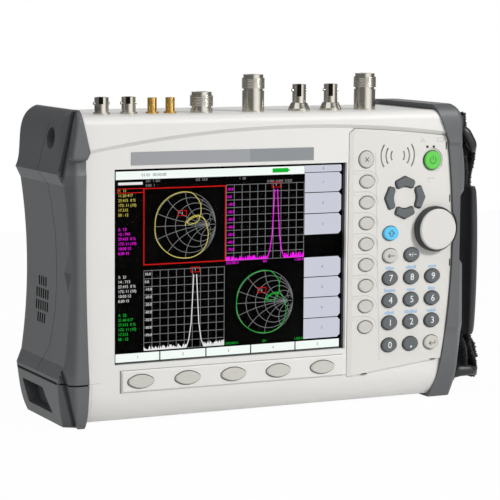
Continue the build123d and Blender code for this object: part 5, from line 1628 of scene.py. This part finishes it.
class ANALYZER_OT_stage(bpy.types.Operator):
    """Set the floor, lamps, background and camera"""
    bl_idname = "analyzer.stage"
    bl_label = "Stage"

    def execute(self, context):
        scene = context.scene
        stage = scene.analyzer_stage
        form = bmesh.new()
        bmesh.ops.create_grid(form, x_segments=1, y_segments=1, size=FLOOR_HALF)
        floor = bpy.data.objects.new("floor", to_mesh(form, "floor"))
        floor.data.materials.append(self.pale_floor())
        scene.collection.objects.link(floor)
        for name, size, power, place in STUDIO_LAMPS:
            lamp = bpy.data.lights.new(name, "AREA")
            lamp.shape = "SQUARE"
            lamp.size = size
            lamp.energy = getattr(stage, power)
            made = bpy.data.objects.new(name, lamp)
            scene.collection.objects.link(made)
            aim(made, place, STUDIO_TARGET)
        self.pale_world(scene)
        self.camera(scene, stage)
        scene.view_settings.view_transform = "Standard"
        return {"FINISHED"}

    def seen(self, tree):
        """One where the camera sees a surface straight, in a mirror or through glass."""
        path = add(tree, "ShaderNodeLightPath")
        both = add(tree, "ShaderNodeMath", None, {
            0: path.outputs["Is Camera Ray"], 1: path.outputs["Is Glossy Ray"]}, operation="MAXIMUM")
        return add(tree, "ShaderNodeMath", None, {
            0: both.outputs[0], 1: path.outputs["Is Transmission Ray"]}, operation="MAXIMUM").outputs[0]

    def pale_floor(self):
        """Matt white paper sweep that keeps a soft shadow."""
        material, tree = new_material("White paper sweep")
        paper = add(tree, "ShaderNodeBsdfDiffuse", {"Color": linear("EDEDED")})
        glow = add(tree, "ShaderNodeEmission", {"Color": WHITE, "Strength": 1.0})
        share = add(tree, "ShaderNodeMath", {1: FLOOR_GLOW}, {0: self.seen(tree)}, operation="MULTIPLY")
        mixed = add(tree, "ShaderNodeMixShader", None,
                    {0: share.outputs[0], 1: paper.outputs[0], 2: glow.outputs[0]})
        add(tree, "ShaderNodeOutputMaterial", None, {"Surface": mixed.outputs[0]})
        return material

    def pale_world(self, scene):
        """White surround, dimmer as a light; metals show a shaded room with a backdrop and a softbox."""
        scene.world = bpy.data.worlds.new("White surround")
        scene.world.use_nodes = True
        tree = scene.world.node_tree
        tree.nodes.clear()
        light = add(tree, "ShaderNodeBackground", {"Color": WHITE, "Strength": WORLD_LIGHT})
        shown = add(tree, "ShaderNodeBackground", {"Color": WHITE, "Strength": 1.0})
        where = add(tree, "ShaderNodeTexCoord").outputs["Generated"]
        lights = []
        for way, start, end, low, high in ROOM_LIGHTS:
            toward = add(tree, "ShaderNodeVectorMath", {1: way}, {0: where}, operation="DOT_PRODUCT")
            lights.append(add(tree, "ShaderNodeMapRange", {
                "From Min": start, "From Max": end, "To Min": low, "To Max": high}, {
                "Value": toward.outputs["Value"]}).outputs[0])
        room = add(tree, "ShaderNodeMath", None, {0: lights[0], 1: lights[1]}, operation="ADD")
        mirrored = add(tree, "ShaderNodeBackground", {"Color": WHITE}, {"Strength": room.outputs[0]})
        path = add(tree, "ShaderNodeLightPath")
        first = add(tree, "ShaderNodeMixShader", None, {
            0: self.seen(tree), 1: light.outputs[0], 2: shown.outputs[0]})
        mixed = add(tree, "ShaderNodeMixShader", None, {
            0: path.outputs["Is Glossy Ray"], 1: first.outputs[0], 2: mirrored.outputs[0]})
        add(tree, "ShaderNodeOutputWorld", None, {"Surface": mixed.outputs[0]})

    def camera(self, scene, stage):
        """Camera at the measured place, with its small roll."""
        data = bpy.data.cameras.new("camera")
        data.sensor_width = SENSOR_WIDE
        data.lens = stage.lens
        data.clip_start, data.clip_end = CLIP
        made = bpy.data.objects.new("camera", data)
        scene.collection.objects.link(made)
        sight = Vector(stage.sight).normalized()
        right = sight.cross(Vector((0, 0, 1))).normalized()
        up = right.cross(sight)
        turned_right = right * math.cos(stage.roll) + up * math.sin(stage.roll)
        turned_up = up * math.cos(stage.roll) - right * math.sin(stage.roll)
        axes = Matrix((turned_right, turned_up, -sight)).transposed()
        made.matrix_world = Matrix.Translation(Vector(stage.place)) @ axes.to_4x4()
        scene.camera = made


OPERATORS = (ANALYZER_OT_case, ANALYZER_OT_boots, ANALYZER_OT_keys, ANALYZER_OT_knob, ANALYZER_OT_screen,
             ANALYZER_OT_jacks, ANALYZER_OT_strap, ANALYZER_OT_inside, ANALYZER_OT_stage)


class ANALYZER_PT_sidebar(bpy.types.Panel):
    """Settings and steps of the analyzer"""
    bl_idname = "ANALYZER_PT_sidebar"
    bl_label = "Analyzer"
    bl_space_type = "VIEW_3D"
    bl_region_type = "UI"
    bl_category = "Analyzer"

    def draw(self, context):
        for group in ("analyzer_colours", "analyzer_sizes", "analyzer_stage"):
            settings = getattr(context.scene, group)
            box = self.layout.box()
            for key in settings.__annotations__:
                box.prop(settings, key)
        for operator in OPERATORS:
            self.layout.operator(operator.bl_idname)


CLASSES = (AnalyzerColours, AnalyzerSizes, AnalyzerStage) + OPERATORS + (ANALYZER_PT_sidebar,)


def register():
    """Register the classes and their settings."""
    for item in CLASSES:
        bpy.utils.register_class(item)
    bpy.types.Scene.analyzer_colours = bpy.props.PointerProperty(type=AnalyzerColours)
    bpy.types.Scene.analyzer_sizes = bpy.props.PointerProperty(type=AnalyzerSizes)
    bpy.types.Scene.analyzer_stage = bpy.props.PointerProperty(type=AnalyzerStage)


def unregister():
    """Remove the classes and their settings."""
    del bpy.types.Scene.analyzer_colours
    del bpy.types.Scene.analyzer_sizes
    del bpy.types.Scene.analyzer_stage
    for item in reversed(CLASSES):
        bpy.utils.unregister_class(item)


def main():
    """Dress the frame."""
    register()
    bpy.ops.analyzer.stage()
    bpy.ops.analyzer.case()
    bpy.ops.analyzer.boots()
    bpy.ops.analyzer.keys()
    bpy.ops.analyzer.knob()
    bpy.ops.analyzer.screen()
    bpy.ops.analyzer.jacks()
    bpy.ops.analyzer.strap()
    bpy.ops.analyzer.inside()


if __name__ == "__main__":
    main()
